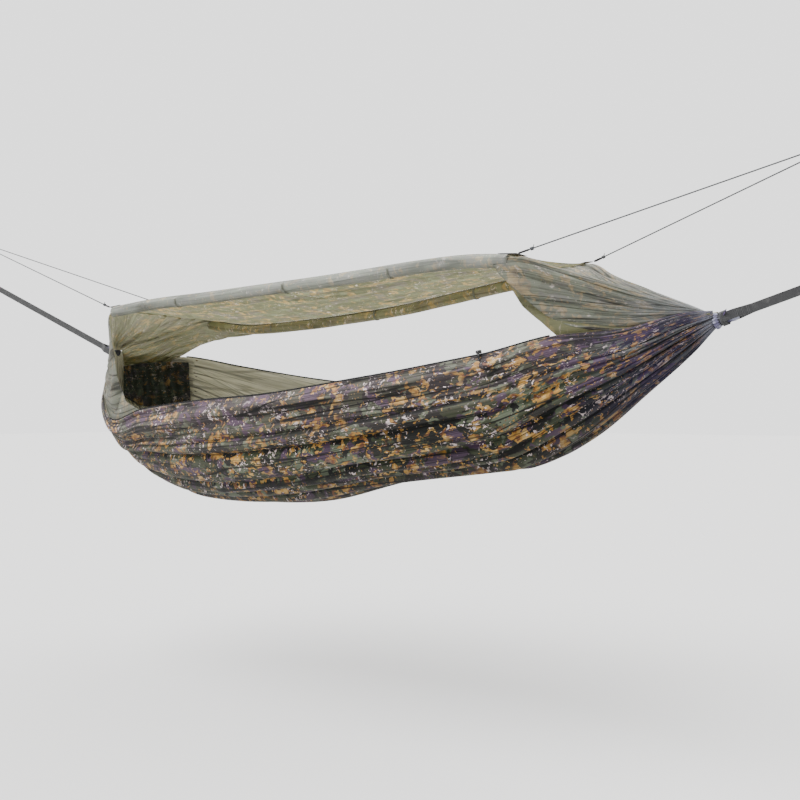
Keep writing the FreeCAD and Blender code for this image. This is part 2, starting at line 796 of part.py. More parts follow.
def guy_line(side, end):
    """The taut cord from the knot to its end ring, one straight run."""
    label = f"{side}_{end}"
    whole = (line_end(side, end) - roof_corner(side, end)).Length
    cord_length = whole - line_start() - size("end_ring") - size("line_radius") - size("knot_length")
    start = Vector(line_start(), 0, 0)
    cord = Part.makeCylinder(size("line_radius"), cord_length, start, Vector(1, 0, 0))
    piece = doc.addObject("Part::Feature", f"{label}_guy_line")
    piece.Shape = cord
    node(piece, f"{label}_guy_line", line_placement(side, end))
    volume = math.pi * size("line_radius") ** 2 * cord_length
    share = piece.Shape.Volume / volume
    print(f"{label}_guy_line: straight, {cord_length:.1f} mm long, volume {share:.4f} of its section")


def line_end_loop(side, end):
    """The knotted loop that goes over the post or peg."""
    label = f"{side}_{end}"
    whole = (line_end(side, end) - roof_corner(side, end)).Length
    ring = primitive("Torus", f"{label}_ring", local(whole),
                     Radius1="dims.end_ring", Radius2="dims.line_radius")
    before = size("end_ring") + size("line_radius") + size("knot_length")
    start = whole - before + size("knot_clearance")
    barrel = primitive("Cylinder", f"{label}_end_barrel", local(start, 0, 0, Vector(0, 1, 0), 90),
                       Radius="dims.knot_radius", Height="dims.knot_length + 2 * dims.line_radius")
    node(fused(f"{label}_end_loop", [ring, barrel]), f"{label}_end_loop", line_placement(side, end))


# ---- the whole hammock --------------------------------------------------------------------------

def check_and_write():
    doc.recompute()
    for item in doc.Objects:
        if any(word in str(item.State) for word in ("Invalid", "Error")):
            raise RuntimeError(f"{item.Name} failed: {item.State}")
    os.makedirs("parts", exist_ok=True)
    for piece in nodes:
        shape = piece.Shape
        if shape.isNull() or not shape.isValid():
            raise RuntimeError(f"{piece.Label} has no valid shape")
        if not shape.Solids or min(solid.Volume for solid in shape.Solids) <= 0:
            raise RuntimeError(f"{piece.Label} is not solid")
        shape.exportStep(f"parts/{piece.Label}.step")
    print(f"{len(nodes)} nodes written")


make_bed()
make_roof()
hood_shell("right_hood", RIGHT_HOOD)
hood_shell("left_hood", LEFT_HOOD)
hanging_panels("right_hood_lining", [RIGHT_LINING, mirrored(RIGHT_LINING)])
hanging_panels("left_inner_panel", [LEFT_PANEL])
for side_name in SIDES:
    zip_tape(side_name)
    zip_slider(side_name)
    zip_pull(side_name)
    rolled_door(side_name)
    door_ties(side_name)
for end_name in ENDS:
    end_gather(end_name)
    whipping(end_name)
    strap(end_name)
    strap_stitching(end_name)
knot_tails("right", ((20, -35), (165, -60)))
knot_tails("left", ((30, -80),))
for side_name in SIDES:
    for end_name in ENDS:
        corner_patch(side_name, end_name)
        shock_loop(side_name, end_name)
        line_knot(side_name, end_name)
        guy_line(side_name, end_name)
        line_end_loop(side_name, end_name)
check_and_write()
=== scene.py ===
import math

import bpy
import numpy as np
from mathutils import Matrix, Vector


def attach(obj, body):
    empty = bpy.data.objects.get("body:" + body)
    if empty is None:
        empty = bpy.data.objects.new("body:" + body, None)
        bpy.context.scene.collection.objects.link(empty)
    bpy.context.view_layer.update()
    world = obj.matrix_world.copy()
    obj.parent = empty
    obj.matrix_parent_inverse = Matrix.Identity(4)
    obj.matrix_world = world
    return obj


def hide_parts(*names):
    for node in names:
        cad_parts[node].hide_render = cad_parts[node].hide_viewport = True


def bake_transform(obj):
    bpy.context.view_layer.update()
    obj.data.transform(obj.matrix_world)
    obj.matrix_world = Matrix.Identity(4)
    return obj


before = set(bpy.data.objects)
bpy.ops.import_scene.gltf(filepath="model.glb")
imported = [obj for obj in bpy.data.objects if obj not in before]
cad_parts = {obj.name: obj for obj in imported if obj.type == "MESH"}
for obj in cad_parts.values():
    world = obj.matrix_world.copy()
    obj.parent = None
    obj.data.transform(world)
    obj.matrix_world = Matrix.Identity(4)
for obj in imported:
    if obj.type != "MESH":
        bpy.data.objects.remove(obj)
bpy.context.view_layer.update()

# Camping hammock with a sewn-in roof. Metres.
# Shapes are set out in the knot frame, whose origin is midway between the two gathering knots, as in
# the CAD source. shared() and ORIGIN take them to the frame that all tools share.

# Driving sizes, the same as in the CAD source.
HALF_SPAN = 1.300
END_REACH = HALF_SPAN - 0.024
BED_HALF_WIDTH = 0.330
BED_DEPTH = 0.588
ROOF_HALF_WIDTH = 0.250
ROOF_SPAN = (-1.000, 0.795)
SIDES = {"near": -1, "far": 1}
ENDS = {"left": -1, "right": 1}
POST = {"right": 1.567, "left": 2.331}
STRAP_RISE = {"right": 0.083, "left": 0.401}
LINE_RISE = {"right": 0.426, "left": 0.571}
LINE_SPACING = 0.016
LINE_RADIUS = 0.002
LINE_START = 0.05204
LINE_STOP = 0.029
ORIGIN = np.array([POST["right"], 0.0, STRAP_RISE["right"]])

BED_FLAT = (1.25, 2.75)
DOOR_FLAT = (0.70, 1.75)
BED_CLOTH = 0.0010
LIGHT_CLOTH = 0.0008
DOOR_CLOTH = 0.0006

# The bed: x, (y, z) of the near rim, (y, z) of the far rim, z of the bottom, as shares of half the
# span, half the width and the depth. The CAD source has its bottom a little lower, and its right end
# slimmer.
BED_STATIONS = (
    (-1.0, (-0.050, 0.010), (0.050, 0.010), -0.030),
    (-0.977, (-0.135, -0.102), (0.121, -0.010), -0.285),
    (-0.923, (-0.394, -0.340), (0.364, -0.020), -0.612),
    (-0.815, (-0.620, -0.481), (0.600, -0.036), -0.772),
    (-0.608, (-0.818, -0.422), (0.818, -0.119), -0.930),
    (-0.338, (-0.955, -0.371), (0.955, -0.213), -0.968),
    (-0.077, (-1.000, -0.337), (1.000, -0.272), -0.922),
    (0.200, (-1.000, -0.267), (1.000, -0.267), -0.794),
    (0.3385, (-0.970, -0.228), (0.970, -0.228), -0.752),
    (0.5385, (-0.830, -0.156), (0.830, -0.156), -0.702),
    (0.6715, (-0.620, -0.075), (0.620, -0.075), -0.568),
    (0.815, (-0.340, -0.040), (0.340, -0.040), -0.345),
    (0.936, (-0.145, 0.030), (0.145, 0.030), -0.140),
    (1.0, (-0.073, 0.034), (0.073, 0.034), -0.046),
)
# The stations between which the zips run straight.
STRAIGHT = (8, 9)
# How full the wall hangs between rim and bottom: less is fuller. The near wall is slimmer at the left.
FULLNESS = 0.85
LEFT_FULLNESS = 1.50
LEFT_PINCH = (-0.45, -0.95)

# The roof: x, then the height of the near edge, the middle and the far edge, in millimetres.
ROOF_STATIONS = (
    (-1000, 150, 140, 141),
    (-760, 166, 128, 108),
    (-460, 172, 124, 109),
    (-200, 179, 134, 121),
    (30, 185, 146, 139),
    (250, 193, 162, 166),
    (450, 202, 178, 192),
    (640, 203, 190, 212),
    (795, 190, 196, 228),
)

# The panel inside the left end, as columns of (low point, high point), in millimetres.
LEFT_PANEL = (
    ((-1012, 176, -212), (-1030, 178, -45)),
    ((-1120, 132, -235), (-1130, 138, -40)),
    ((-1200, 72, -228), (-1205, 78, -48)),
    ((-1240, 8, -190), (-1243, 10, -62)),
)


# ---- places and cords ----

def placed(name, data):
    """A new object in the scene."""
    made = bpy.data.objects.new(name, data)
    bpy.context.scene.collection.objects.link(made)
    return made


def shared(point):
    """A point of the knot frame, in the frame that all tools share."""
    return np.asarray(point, float) - ORIGIN


def line_end(side, end):
    """Where a guy line is made fast."""
    return shared((ENDS[end] * POST[end], SIDES[side] * LINE_SPACING, LINE_RISE[end]))


def roof_corner(side, end):
    """A corner of the roof."""
    station = ROOF_STATIONS[0 if end == "left" else -1]
    height = station[1 if side == "near" else 3]
    return shared((station[0] / 1000, SIDES[side] * ROOF_HALF_WIDTH, height / 1000))


def line_points(side, end):
    """The route of a guy line: from its knot on the shock cord to the loop at its far end."""
    corner = roof_corner(side, end)
    far = line_end(side, end)
    along = (far - corner) / np.linalg.norm(far - corner)
    start = corner + along * LINE_START
    stop = far - along * LINE_STOP
    straight = 12 * LINE_RADIUS
    return [start, start + along * straight, stop - along * straight, stop]


def strap_direction(end):
    """From a knot to the far eye of its strap."""
    return shared((ENDS[end] * POST[end], 0, STRAP_RISE[end])) - shared((ENDS[end] * HALF_SPAN, 0, 0))


def curve_through(name, points, radius, material):
    """One open NURBS spline as a round cord."""
    data = bpy.data.curves.new(name, "CURVE")
    data.dimensions = "3D"
    data.bevel_depth = radius
    data.bevel_resolution = 4
    data.use_fill_caps = True
    spline = data.splines.new("NURBS")
    spline.points.add(len(points) - 1)
    for spot, point in zip(spline.points, points):
        spot.co = (*point, 1)
    spline.order_u = 3
    spline.use_endpoint_u = True
    data.materials.append(material)
    return placed(name, data)


def add_camera():
    """The camera at the viewing angle of the picture."""
    data = bpy.data.cameras.new("camera")
    data.lens = 45
    data.sensor_width = 36
    data.clip_end = 100
    camera = placed("camera", data)
    camera.location = (0.61671, -2.72045, -0.34013)
    camera.rotation_euler = (math.radians(90.716), 0, math.radians(36))
    bpy.context.scene.camera = camera


# ---- building materials ----

def new_material(name):
    """An empty node material."""
    material = bpy.data.materials.new(name)
    material.use_nodes = True
    material.node_tree.nodes.clear()
    return material, material.node_tree


def add(tree, kind, inputs=None, **settings):
    """A node with its settings, and its inputs either linked or set."""
    made = tree.nodes.new(kind)
    for key, value in settings.items():
        setattr(made, key, value)
    for key, value in (inputs or {}).items():
        if isinstance(value, bpy.types.NodeSocket):
            tree.links.new(value, made.inputs[key])
        else:
            made.inputs[key].default_value = value
    return made


def maths(tree, operation, first, second=0.0):
    return add(tree, "ShaderNodeMath", {0: first, 1: second}, operation=operation).outputs[0]


def times(tree, first, second):
    return maths(tree, "MULTIPLY", first, second)


def roughness_of(tree, field, spread, least):
    """A roughness from least upwards, spread by a field from 0 to 1."""
    return maths(tree, "ADD", times(tree, field, spread), least)


def vector_maths(tree, operation, first, second):
    return add(tree, "ShaderNodeVectorMath", {0: first, 1: second}, operation=operation).outputs[0]


def mixed(tree, factor, first, second):
    """One colour into another."""
    made = add(tree, "ShaderNodeMix", {0: factor, 6: first, 7: second}, data_type="RGBA")
    return made.outputs[2]


def stepped(tree, value, low, high):
    """0 below low, 1 above high, smooth between."""
    inputs = {0: value, 1: low, 2: high, 3: 0.0, 4: 1.0}
    made = add(tree, "ShaderNodeMapRange", inputs, interpolation_type="SMOOTHSTEP")
    return made.outputs[0]


def mapped(tree, vector, scale=(1, 1, 1), location=(0, 0, 0), rotation=(0, 0, 0)):
    inputs = {"Vector": vector, "Scale": scale, "Location": location, "Rotation": rotation}
    return add(tree, "ShaderNodeMapping", inputs).outputs[0]


def noise(tree, vector, scale, detail=2.0, roughness=0.5, distortion=0.0):
    inputs = {
        "Vector": vector,
        "Scale": scale,
        "Detail": detail,
        "Roughness": roughness,
        "Distortion": distortion,
    }
    return add(tree, "ShaderNodeTexNoise", inputs).outputs["Fac"]


def grey(level):
    return (level, level, level, 1)


def fabric_place(tree):
    """Metres on the flat cloth."""
    return add(tree, "ShaderNodeUVMap", uv_map="flat").outputs[0]


def object_place(tree):
    """Metres in the object's own axes."""
    return add(tree, "ShaderNodeTexCoord").outputs["Object"]


def axes_of(tree, vector):
    return add(tree, "ShaderNodeSeparateXYZ", {0: vector}).outputs


def fold_height(tree):
    """-1 in the valley of a fold, 1 on its ridge."""
    return add(tree, "ShaderNodeAttribute", attribute_name="fold").outputs["Fac"]


def waves(tree, place, pitch):
    """A sine wave that repeats every pitch."""
    return maths(tree, "SINE", times(tree, place, 2 * math.pi / pitch))


THREAD_PITCH = 0.0009
RIPSTOP_PITCH = 0.006


def weave_height(tree, place):
    """Plain weave with the heavier threads of ripstop."""
    axes = axes_of(tree, place)
    threads = times(tree, waves(tree, axes[0], THREAD_PITCH), waves(tree, axes[1], THREAD_PITCH))
    ribs = [stepped(tree, waves(tree, axes[i], RIPSTOP_PITCH), 0.93, 1.0) for i in (0, 1)]
    return maths(tree, "ADD", times(tree, threads, 0.35), maths(tree, "MAXIMUM", *ribs))


def bumped(tree, layers):
    """Bump nodes one after another, each from (height, distance, strength)."""
    normal = None
    for height, distance, strength in layers:
        inputs = {"Height": height, "Distance": distance, "Strength": strength}
        if normal is not None:
            inputs["Normal"] = normal
        normal = add(tree, "ShaderNodeBump", inputs).outputs[0]
    return normal


def finish_surface(tree, colour, normal, roughness, sheen=0.0, metallic=0.0, translucent=None,
                   share=0.0):
    """The shader and the output. translucent is the colour of the light let through."""
    inputs = {"Base Color": colour, "Roughness": roughness, "Normal": normal}
    shader = add(tree, "ShaderNodeBsdfPrincipled", inputs)
    shader.inputs["Sheen Weight"].default_value = sheen
    shader.inputs["Metallic"].default_value = metallic
    shader.inputs["Specular IOR Level"].default_value = 0.25
    surface = shader.outputs[0]
    if translucent is not None:
        through = add(tree, "ShaderNodeBsdfTranslucent", {"Color": translucent, "Normal": normal})
        blend = add(tree, "ShaderNodeMixShader", {0: share, 1: surface, 2: through.outputs[0]})
        surface = blend.outputs[0]
    add(tree, "ShaderNodeOutputMaterial", {"Surface": surface})


def blotch(tree, place, offset, scale, level, edge=0.010, curl=0.5):
    """A mask of ragged hard-edged patches. curl draws them out into hooks."""
    moved = mapped(tree, place, location=(offset, offset * 0.7, offset * 1.3))
    field = noise(tree, moved, scale, detail=2.0, roughness=0.5, distortion=curl)
    return stepped(tree, field, level, level + edge)


def ruffled(tree, place, scale, most):
    """Places pushed about by noise, so that the edges of the patches come out ragged."""
    inputs = {"Vector": place, "Scale": scale, "Detail": 3.0}
    field = add(tree, "ShaderNodeTexNoise", inputs).outputs["Color"]
    push = vector_maths(tree, "SUBTRACT", field, (0.5, 0.5, 0.5))
    inputs = {0: push, "Scale": most}
    push = add(tree, "ShaderNodeVectorMath", inputs, operation="SCALE").outputs[0]
    return vector_maths(tree, "ADD", place, push)


PRINT = {
    "dark": (0.006, 0.009, 0.007, 1),
    "green": (0.046, 0.060, 0.028, 1),
    "grey": (0.140, 0.170, 0.110, 1),
    "purple": (0.080, 0.046, 0.088, 1),
    "rust": (0.230, 0.085, 0.030, 1),
    "ochre": (0.600, 0.320, 0.060, 1),
    "tan": (0.760, 0.500, 0.180, 1),
    "pale": (1.000, 0.840, 0.840, 1),
}


# The large patches of the print, from the lowest: colour, place in the noise, scale, level, edge.
PATCHES = (
    ("green", 3.1, 14, 0.480, 0.03),
    ("grey", 6.4, 17, 0.570, 0.03),
    ("purple", 7.7, 16, 0.545, 0.04),
    ("dark", 5.5, 29, 0.590, 0.02),
)


def camouflage(tree, flat, palette):
    """The printed pattern: patches laid over one another, then pale flecks in clusters."""
    place = ruffled(tree, flat, 60, 0.022)
    colour = palette["dark"]
    for ink, offset, scale, level, edge in PATCHES:
        colour = mixed(tree, blotch(tree, place, offset, scale, level, edge), colour, palette[ink])
    shades = noise(tree, mapped(tree, place, location=(4, 9, 0)), 45, detail=3)
    warm = mixed(tree, stepped(tree, shades, 0.40, 0.50), palette["rust"], palette["ochre"])
    warm = mixed(tree, stepped(tree, shades, 0.52, 0.62), warm, palette["tan"])
    hooks = blotch(tree, place, 9.2, 30, 0.560, curl=0.9)
    areas = stepped(tree, noise(tree, mapped(tree, flat, location=(2, 5, 0)), 7), 0.45, 0.53)
    colour = mixed(tree, times(tree, hooks, areas), colour, warm)
    crumbs = blotch(tree, place, 1.2, 55, 0.640, curl=1.2)
    colour = mixed(tree, crumbs, colour, warm)
    fleck = blotch(tree, place, 2.9, 56, 0.625, curl=1.6)
    cluster = stepped(tree, noise(tree, mapped(tree, flat, location=(8, 1, 0)), 9), 0.50, 0.58)
    colour = mixed(tree, times(tree, fleck, cluster), colour, palette["pale"])
    return mixed(tree, blotch(tree, place, 4.2, 84, 0.690, curl=0.8), colour, palette["pale"])


def print_mixed_towards(towards, share):
    """The colours of the print, mixed towards another one."""
    return {
        name: tuple(c * (1 - share) + t * share for c, t in zip(colour, towards))
        for name, colour in PRINT.items()
    }


def crease_shade_lines(tree, place, across, width, seed):
    """A mask of thin lines that run along the cloth, for painted crease shade: 1 in a crease, 0 beside
    it.
    """
    moved = mapped(tree, place, scale=(0.9, across, 1), location=(seed, seed, 0))
    field = noise(tree, moved, 1.0, detail=1.5, roughness=0.4)
    beside = maths(tree, "ABSOLUTE", maths(tree, "SUBTRACT", field, 0.5))
    return stepped(tree, beside, width, 0.0)


# Sets of painted crease shade lines in printed cloth: how many a metre, width, place in the noise,
# darkness.
PRINT_CREASE_SHADE = ((13, 0.018, 1.7, 1.0), (29, 0.022, 4.4, 0.9), (55, 0.030, 8.3, 0.5))
# Sets of painted crease shade lines in the lining: slant in radians, how many a metre, place in the
# noise.
LINING_CREASE_SHADE = ((0.35, 16, 3.1), (-0.25, 24, 6.6), (0.05, 40, 9.4))
# The colour of the painted highlight on the ridges of folds.
RIDGE_HIGHLIGHT_COLOUR = (0.40, 0.34, 0.31, 1)


def printed_cloth(name, palette, sheen, through=0.0, tints=(), crease_shade=0.75, crest=0.0):
    """Light printed nylon: the pattern, painted shade in the folds' valleys and along fine crease
    lines, a painted highlight on the ridges, bumped creases and the weave. through is the share of
    light let through; the crease shade sets how dark the painted shade in valleys and creases is, and
    the ridge highlight how strong the painted highlight on the ridges is.
    A tint is (colour, "along" the cloth or out from its "middle", from metre, to metre, most)."""
    material, tree = new_material(name)
    flat = fabric_place(tree)
    colour = camouflage(tree, flat, palette)
    axes = axes_of(tree, flat)
    from_middle = maths(tree, "SUBTRACT", axes[1], BED_FLAT[0] / 2)
    places = {"along": axes[0], "middle": maths(tree, "ABSOLUTE", from_middle)}
    for tint_colour, place, start, stop, most in tints:
        share = times(tree, stepped(tree, places[place], start, stop), most)
        colour = mixed(tree, share, colour, tint_colour)
    fold = fold_height(tree)
    # Painted highlight: the ridges of folds paled towards a light colour.
    high = times(tree, stepped(tree, fold, 0.30, 0.95), crest)
    colour = mixed(tree, high, colour, RIDGE_HIGHLIGHT_COLOUR)
    # Painted shade: the valleys of folds darkened towards black.
    valley_shade = times(tree, stepped(tree, fold, -0.10, -0.85), crease_shade)
    colour = mixed(tree, valley_shade, colour, grey(0.003))
    # Painted shade: thin dark lines along the creases.
    for across, width, seed, most in PRINT_CREASE_SHADE:
        line = times(tree, crease_shade_lines(tree, flat, across, width, seed), most * crease_shade)
        colour = mixed(tree, line, colour, grey(0.004))
    creases = noise(tree, mapped(tree, flat, scale=(1.6, 40, 1)), 1.6, detail=4, roughness=0.6)
    crumple = noise(tree, flat, 24, detail=3)
    normal = bumped(tree, [
        (creases, 0.010, 0.8),
        (crumple, 0.003, 0.25),
        (weave_height(tree, flat), 0.00012, 0.5),
    ])
    rough = roughness_of(tree, crumple, 0.22, 0.42)
    glow = None
    if through:
        glow = add(tree, "ShaderNodeGamma", {"Color": colour, "Gamma": 0.40}).outputs[0]
    finish_surface(tree, colour, normal, rough, sheen=sheen, translucent=glow, share=through)
    return material


def plain_cloth(name, colour, second):
    """Unprinted lining: two close tones, painted shade in fold valleys and along crease lines, bumped
    creases and weave.
    """
    material, tree = new_material(name)
    place = fabric_place(tree)
    cloud = noise(tree, mapped(tree, place, scale=(2, 9, 1)), 4, detail=4)
    shade = mixed(tree, stepped(tree, cloud, 0.38, 0.66), colour, second)
    # Painted shade: the valleys of folds darkened.
    valley_shade = times(tree, stepped(tree, fold_height(tree), 0.1, -0.9), 0.75)
    shade = mixed(tree, valley_shade, shade, grey(0.03))
    # Painted shade: thin dark lines along the creases.
    for turn, across, seed in LINING_CREASE_SHADE:
        slanted = mapped(tree, place, rotation=(0, 0, turn))
        line = times(tree, crease_shade_lines(tree, slanted, across, 0.014, seed), 0.45)
        shade = mixed(tree, line, shade, grey(0.05))
    creases = noise(tree, mapped(tree, place, scale=(2.5, 50, 1)), 1.6, detail=4, roughness=0.6)
    normal = bumped(tree, [(creases, 0.005, 0.5), (weave_height(tree, place), 0.00012, 0.5)])
    rough = roughness_of(tree, cloud, 0.2, 0.5)
    finish_surface(tree, shade, normal, rough, sheen=0.1)
    return material


def dusted(tree, colour, cloud, full, level):
    """Worn blotches of grey, strongest where the cloud is over full."""
    return mixed(tree, times(tree, stepped(tree, cloud, 0.5, full), 0.3), colour, grey(level))


def turned_to(direction):
    """The rotation that a Mapping node needs to lay its X along a direction of the XZ plane."""
    return (0, math.atan2(direction[2], direction[0]), 0)


def webbing(name, direction, colour, second):
    """Woven tape: herringbone ribs along and across a direction."""
    material, tree = new_material(name)
    place = mapped(tree, object_place(tree), rotation=turned_to(direction))
    axes = axes_of(tree, place)
    slant = maths(tree, "PINGPONG", axes[1], 0.003)
    ribs = waves(tree, maths(tree, "ADD", axes[0], slant), 0.0022)
    cross = waves(tree, axes[1], 0.0016)
    height = maths(tree, "ADD", ribs, times(tree, cross, 0.5))
    cloud = noise(tree, place, 60, detail=4)
    shade = mixed(tree, stepped(tree, ribs, -0.9, 0.9), colour, second)
    shade = dusted(tree, shade, cloud, 0.75, 0.2)
    normal = bumped(tree, [(height, 0.0004, 0.8), (cloud, 0.0008, 0.3)])
    rough = roughness_of(tree, cloud, 0.25, 0.5)
    finish_surface(tree, shade, normal, rough, sheen=0.15)
    return material


def braided(name, colour, second, pitch=0.0016):
    """Braided cord: two slanting sets of strands."""
    material, tree = new_material(name)
    place = object_place(tree)
    axes = axes_of(tree, place)
    upright = maths(tree, "ADD", axes[1], axes[2])
    strands = [waves(tree, maths(tree, way, axes[0], upright), pitch) for way in ("ADD", "SUBTRACT")]
    height = maths(tree, "MAXIMUM", *strands)
    cloud = noise(tree, place, 90, detail=3)
    shade = mixed(tree, stepped(tree, height, -0.2, 0.9), colour, second)
    shade = dusted(tree, shade, cloud, 0.8, 0.25)
    normal = bumped(tree, [(height, 0.0003, 0.8)])
    rough = roughness_of(tree, cloud, 0.2, 0.5)
    finish_surface(tree, shade, normal, rough, sheen=0.1)
    return material


def metal(name, colour):
    """Plated zip metal, worn brighter in places."""
    material, tree = new_material(name)
    place = object_place(tree)
    wear = noise(tree, place, 220, detail=5, roughness=0.6)
    scratches = noise(tree, mapped(tree, place, scale=(1, 12, 12)), 160, detail=3)
    shade = mixed(tree, stepped(tree, wear, 0.5, 0.7), colour, grey(0.35))
    rough = roughness_of(tree, wear, 0.3, 0.2)
    normal = bumped(tree, [(scratches, 0.0002, 0.5)])
    finish_surface(tree, shade, normal, rough, metallic=0.9)
    return material


def patch_cloth(name, colour, second):
    """Stiff doubled cloth of the corner patches, with its weave in the object's own axes."""
    material, tree = new_material(name)
    place = object_place(tree)
    cloud = noise(tree, place, 45, detail=5)
    shade = mixed(tree, stepped(tree, cloud, 0.35, 0.7), colour, second)
    normal = bumped(tree, [(cloud, 0.002, 0.4), (weave_height(tree, place), 0.0002, 0.6)])
    rough = roughness_of(tree, cloud, 0.2, 0.55)
    finish_surface(tree, shade, normal, rough, sheen=0.15)
    return material


# ---- building sheets ----

def ramp(value, start, stop):
    """0 up to start, 1 from stop on."""
    return np.clip((value - start) / (stop - start), 0, 1)


def soft_noise(u, v, cell_u, cell_v, seed):
    """Smooth seeded noise from -1 to 1, with cells of this size. The seed alone sets its table."""
    count = 64
    table = np.random.default_rng(seed).uniform(-1, 1, (count, count))
    a = u / cell_u + 11.3
    b = v / cell_v + 7.9
    i = np.floor(a).astype(int)
    j = np.floor(b).astype(int)
    f = a - i
    g = b - j
    f = f * f * (3 - 2 * f)
    g = g * g * (3 - 2 * g)
    low = table[i % count, j % count] * (1 - f) + table[(i + 1) % count, j % count] * f
    j += 1
    high = table[i % count, j % count] * (1 - f) + table[(i + 1) % count, j % count] * f
    return low * (1 - g) + high * g


def smooth_table(places, values, at, straight=None):
    """Columns of values at places, followed smoothly; straight is a stretch kept as a line."""
    places = np.asarray(places, float)
    values = np.asarray(values, float)
    at = np.asarray(at, float)
    slopes = np.gradient(values, places, axis=0)
    k = np.clip(np.searchsorted(places, at) - 1, 0, len(places) - 2)
    gap = places[k + 1] - places[k]
    t = ((at - places[k]) / gap)[:, None]
    gap = gap[:, None]
    smooth = (
        values[k] * (1 + 2 * t) * (1 - t) ** 2
        + slopes[k] * gap * t * (1 - t) ** 2
        + values[k + 1] * t * t * (3 - 2 * t)
        - slopes[k + 1] * gap * t * t * (1 - t)
    )
    if straight is None:
        return smooth
    line = values[k] * (1 - t) + values[k + 1] * t
    inside = (at > straight[0] - 1e-6) & (at < straight[1] + 1e-6)
    return np.where(inside[:, None], line, smooth)


def grid_normals(grid):
    """Unit normals of a grid of points."""
    down = np.gradient(grid, axis=0)
    across = np.gradient(grid, axis=1)
    normal = np.cross(down, across)
    length = np.linalg.norm(normal, axis=2, keepdims=True)
    return normal / np.maximum(length, 1e-9)


def link_mesh(name, verts, faces, materials, indices=None, flat=None, fold=None):
    """A smooth mesh object, with the material of each face, flat coordinates and folds if given."""
    mesh = bpy.data.meshes.new(name)
    mesh.from_pydata([tuple(v) for v in verts], [], [tuple(int(i) for i in f) for f in faces])
    for material in materials:
        mesh.materials.append(material)
    mesh.polygons.foreach_set("use_smooth", [True] * len(mesh.polygons))
    if indices is not None:
        mesh.polygons.foreach_set("material_index", indices)
    if flat is not None:
        layer = mesh.uv_layers.new(name="flat")
        loops = np.empty(len(mesh.loops), dtype=np.int32)
        mesh.loops.foreach_get("vertex_index", loops)
        layer.data.foreach_set("uv", np.asarray(flat, np.float32)[loops].ravel())
    if fold is not None:
        heights = mesh.attributes.new("fold", "FLOAT", "POINT").data
        heights.foreach_set("value", np.asarray(fold, np.float32))
    mesh.update()
    return placed(name, mesh)


def cloth_shell(name, grid, flat, fold, thickness, materials):
    """A closed sheet round a grid of points; its second material is on the back."""
    normal = grid_normals(grid)
    front = (grid + normal * thickness / 2).reshape(-1, 3)
    back = (grid - normal * thickness / 2).reshape(-1, 3)
    shift = len(front)
    ids = np.arange(shift).reshape(grid.shape[:2])
    quads = np.stack([ids[:-1, :-1], ids[1:, :-1], ids[1:, 1:], ids[:-1, 1:]], axis=-1)
    quads = quads.reshape(-1, 4)
    behind = quads[:, ::-1] + shift
    edge = np.concatenate([ids[0, :-1], ids[:-1, -1], ids[-1, :0:-1], ids[:0:-1, 0]])
    following = np.roll(edge, -1)
    rim = np.stack([edge, following, following + shift, edge + shift], axis=-1)
    faces = np.concatenate([quads, behind, rim])
    indices = [0] * len(quads) + [1] * len(behind) + [0] * len(rim)
    uv = np.concatenate([flat.reshape(-1, 2)] * 2)
    height = np.concatenate([fold.ravel(), -fold.ravel()])
    return link_mesh(name, np.concatenate([front, back]), faces, materials, indices, uv, height)


def ridge(t, sharpness=0.6):
    """Rounded ridges with sharp valleys, from -1 to 1."""
    return 2 * np.abs(np.sin(np.pi * t)) ** sharpness - 1


# ---- the bed ----

BED_ROWS = 176
BED_COLUMNS = 236
# Sets of folds: how many round the bed, seed, weight in the middle, what the gathered ends add to it.
BED_FOLDS = ((11, 21, 1.0, -0.6), (19, 22, 0.6, 0.3), (31, 23, 0.2, 0.9))
# The bands of slack under the near rim: middle and width as shares of the way round, count, depth.
BAND_MIDDLE = 0.12
BAND_WIDTH = 0.085
BAND_COUNT = 18
BAND_DEPTH = 0.011
# The puckers of the lining: where their seam is, how far they fade, count round the bed, depth.
PUCKER_SEAM = -1.03
PUCKER_FADE = 0.16
PUCKER_COUNT = 27
PUCKER_DEPTH = 0.005
# How far inside the smooth wall the two layers lie.
OUTER_DROP = 0.0018
INNER_DROP = 0.0062


def bed_profile():
    """The bed's stations by distance along its bottom: distances, then rows of x, rims and bottom."""
    rows = []
    for share, near, far, bottom in BED_STATIONS:
        x = min(END_REACH, max(-END_REACH, share * HALF_SPAN))
        near_rim = (near[0] * BED_HALF_WIDTH, near[1] * BED_DEPTH)
        far_rim = (far[0] * BED_HALF_WIDTH, far[1] * BED_DEPTH)
        rows.append((x, *near_rim, *far_rim, bottom * BED_DEPTH))
    rows = np.array(rows)
    steps = np.hypot(np.diff(rows[:, 0]), np.diff(rows[:, 5]))
    return np.concatenate([[0], np.cumsum(steps)]), rows


BED_RUN, BED_ROWS_AT = bed_profile()
STRAIGHT_RUN = [BED_RUN[station] for station in STRAIGHT]


def bed_surface(run, q):
    """Points of the bed's wall: run is the distance along it, q 0 at the far rim and 1 at the near."""
    x, near_y, near_z, far_y, far_z, bottom = smooth_table(BED_RUN, BED_ROWS_AT, run, STRAIGHT_RUN).T
    angle = np.pi * (1 - q)[None, :]
    on_near = angle <= np.pi / 2
    pinch = ramp(x, *LEFT_PINCH)[:, None] * on_near
    fullness = FULLNESS + (LEFT_FULLNESS - FULLNESS) * pinch
    sine = np.sin(angle) ** fullness
    cosine = np.abs(np.cos(angle)) ** fullness
    rim_y = np.where(on_near, near_y[:, None], far_y[:, None])
    rim_z = np.where(on_near, near_z[:, None], far_z[:, None])
    y = rim_y * cosine
    z = rim_z + (bottom[:, None] - rim_z) * sine
    return np.stack([np.broadcast_to(x[:, None], y.shape), y, z], axis=-1)


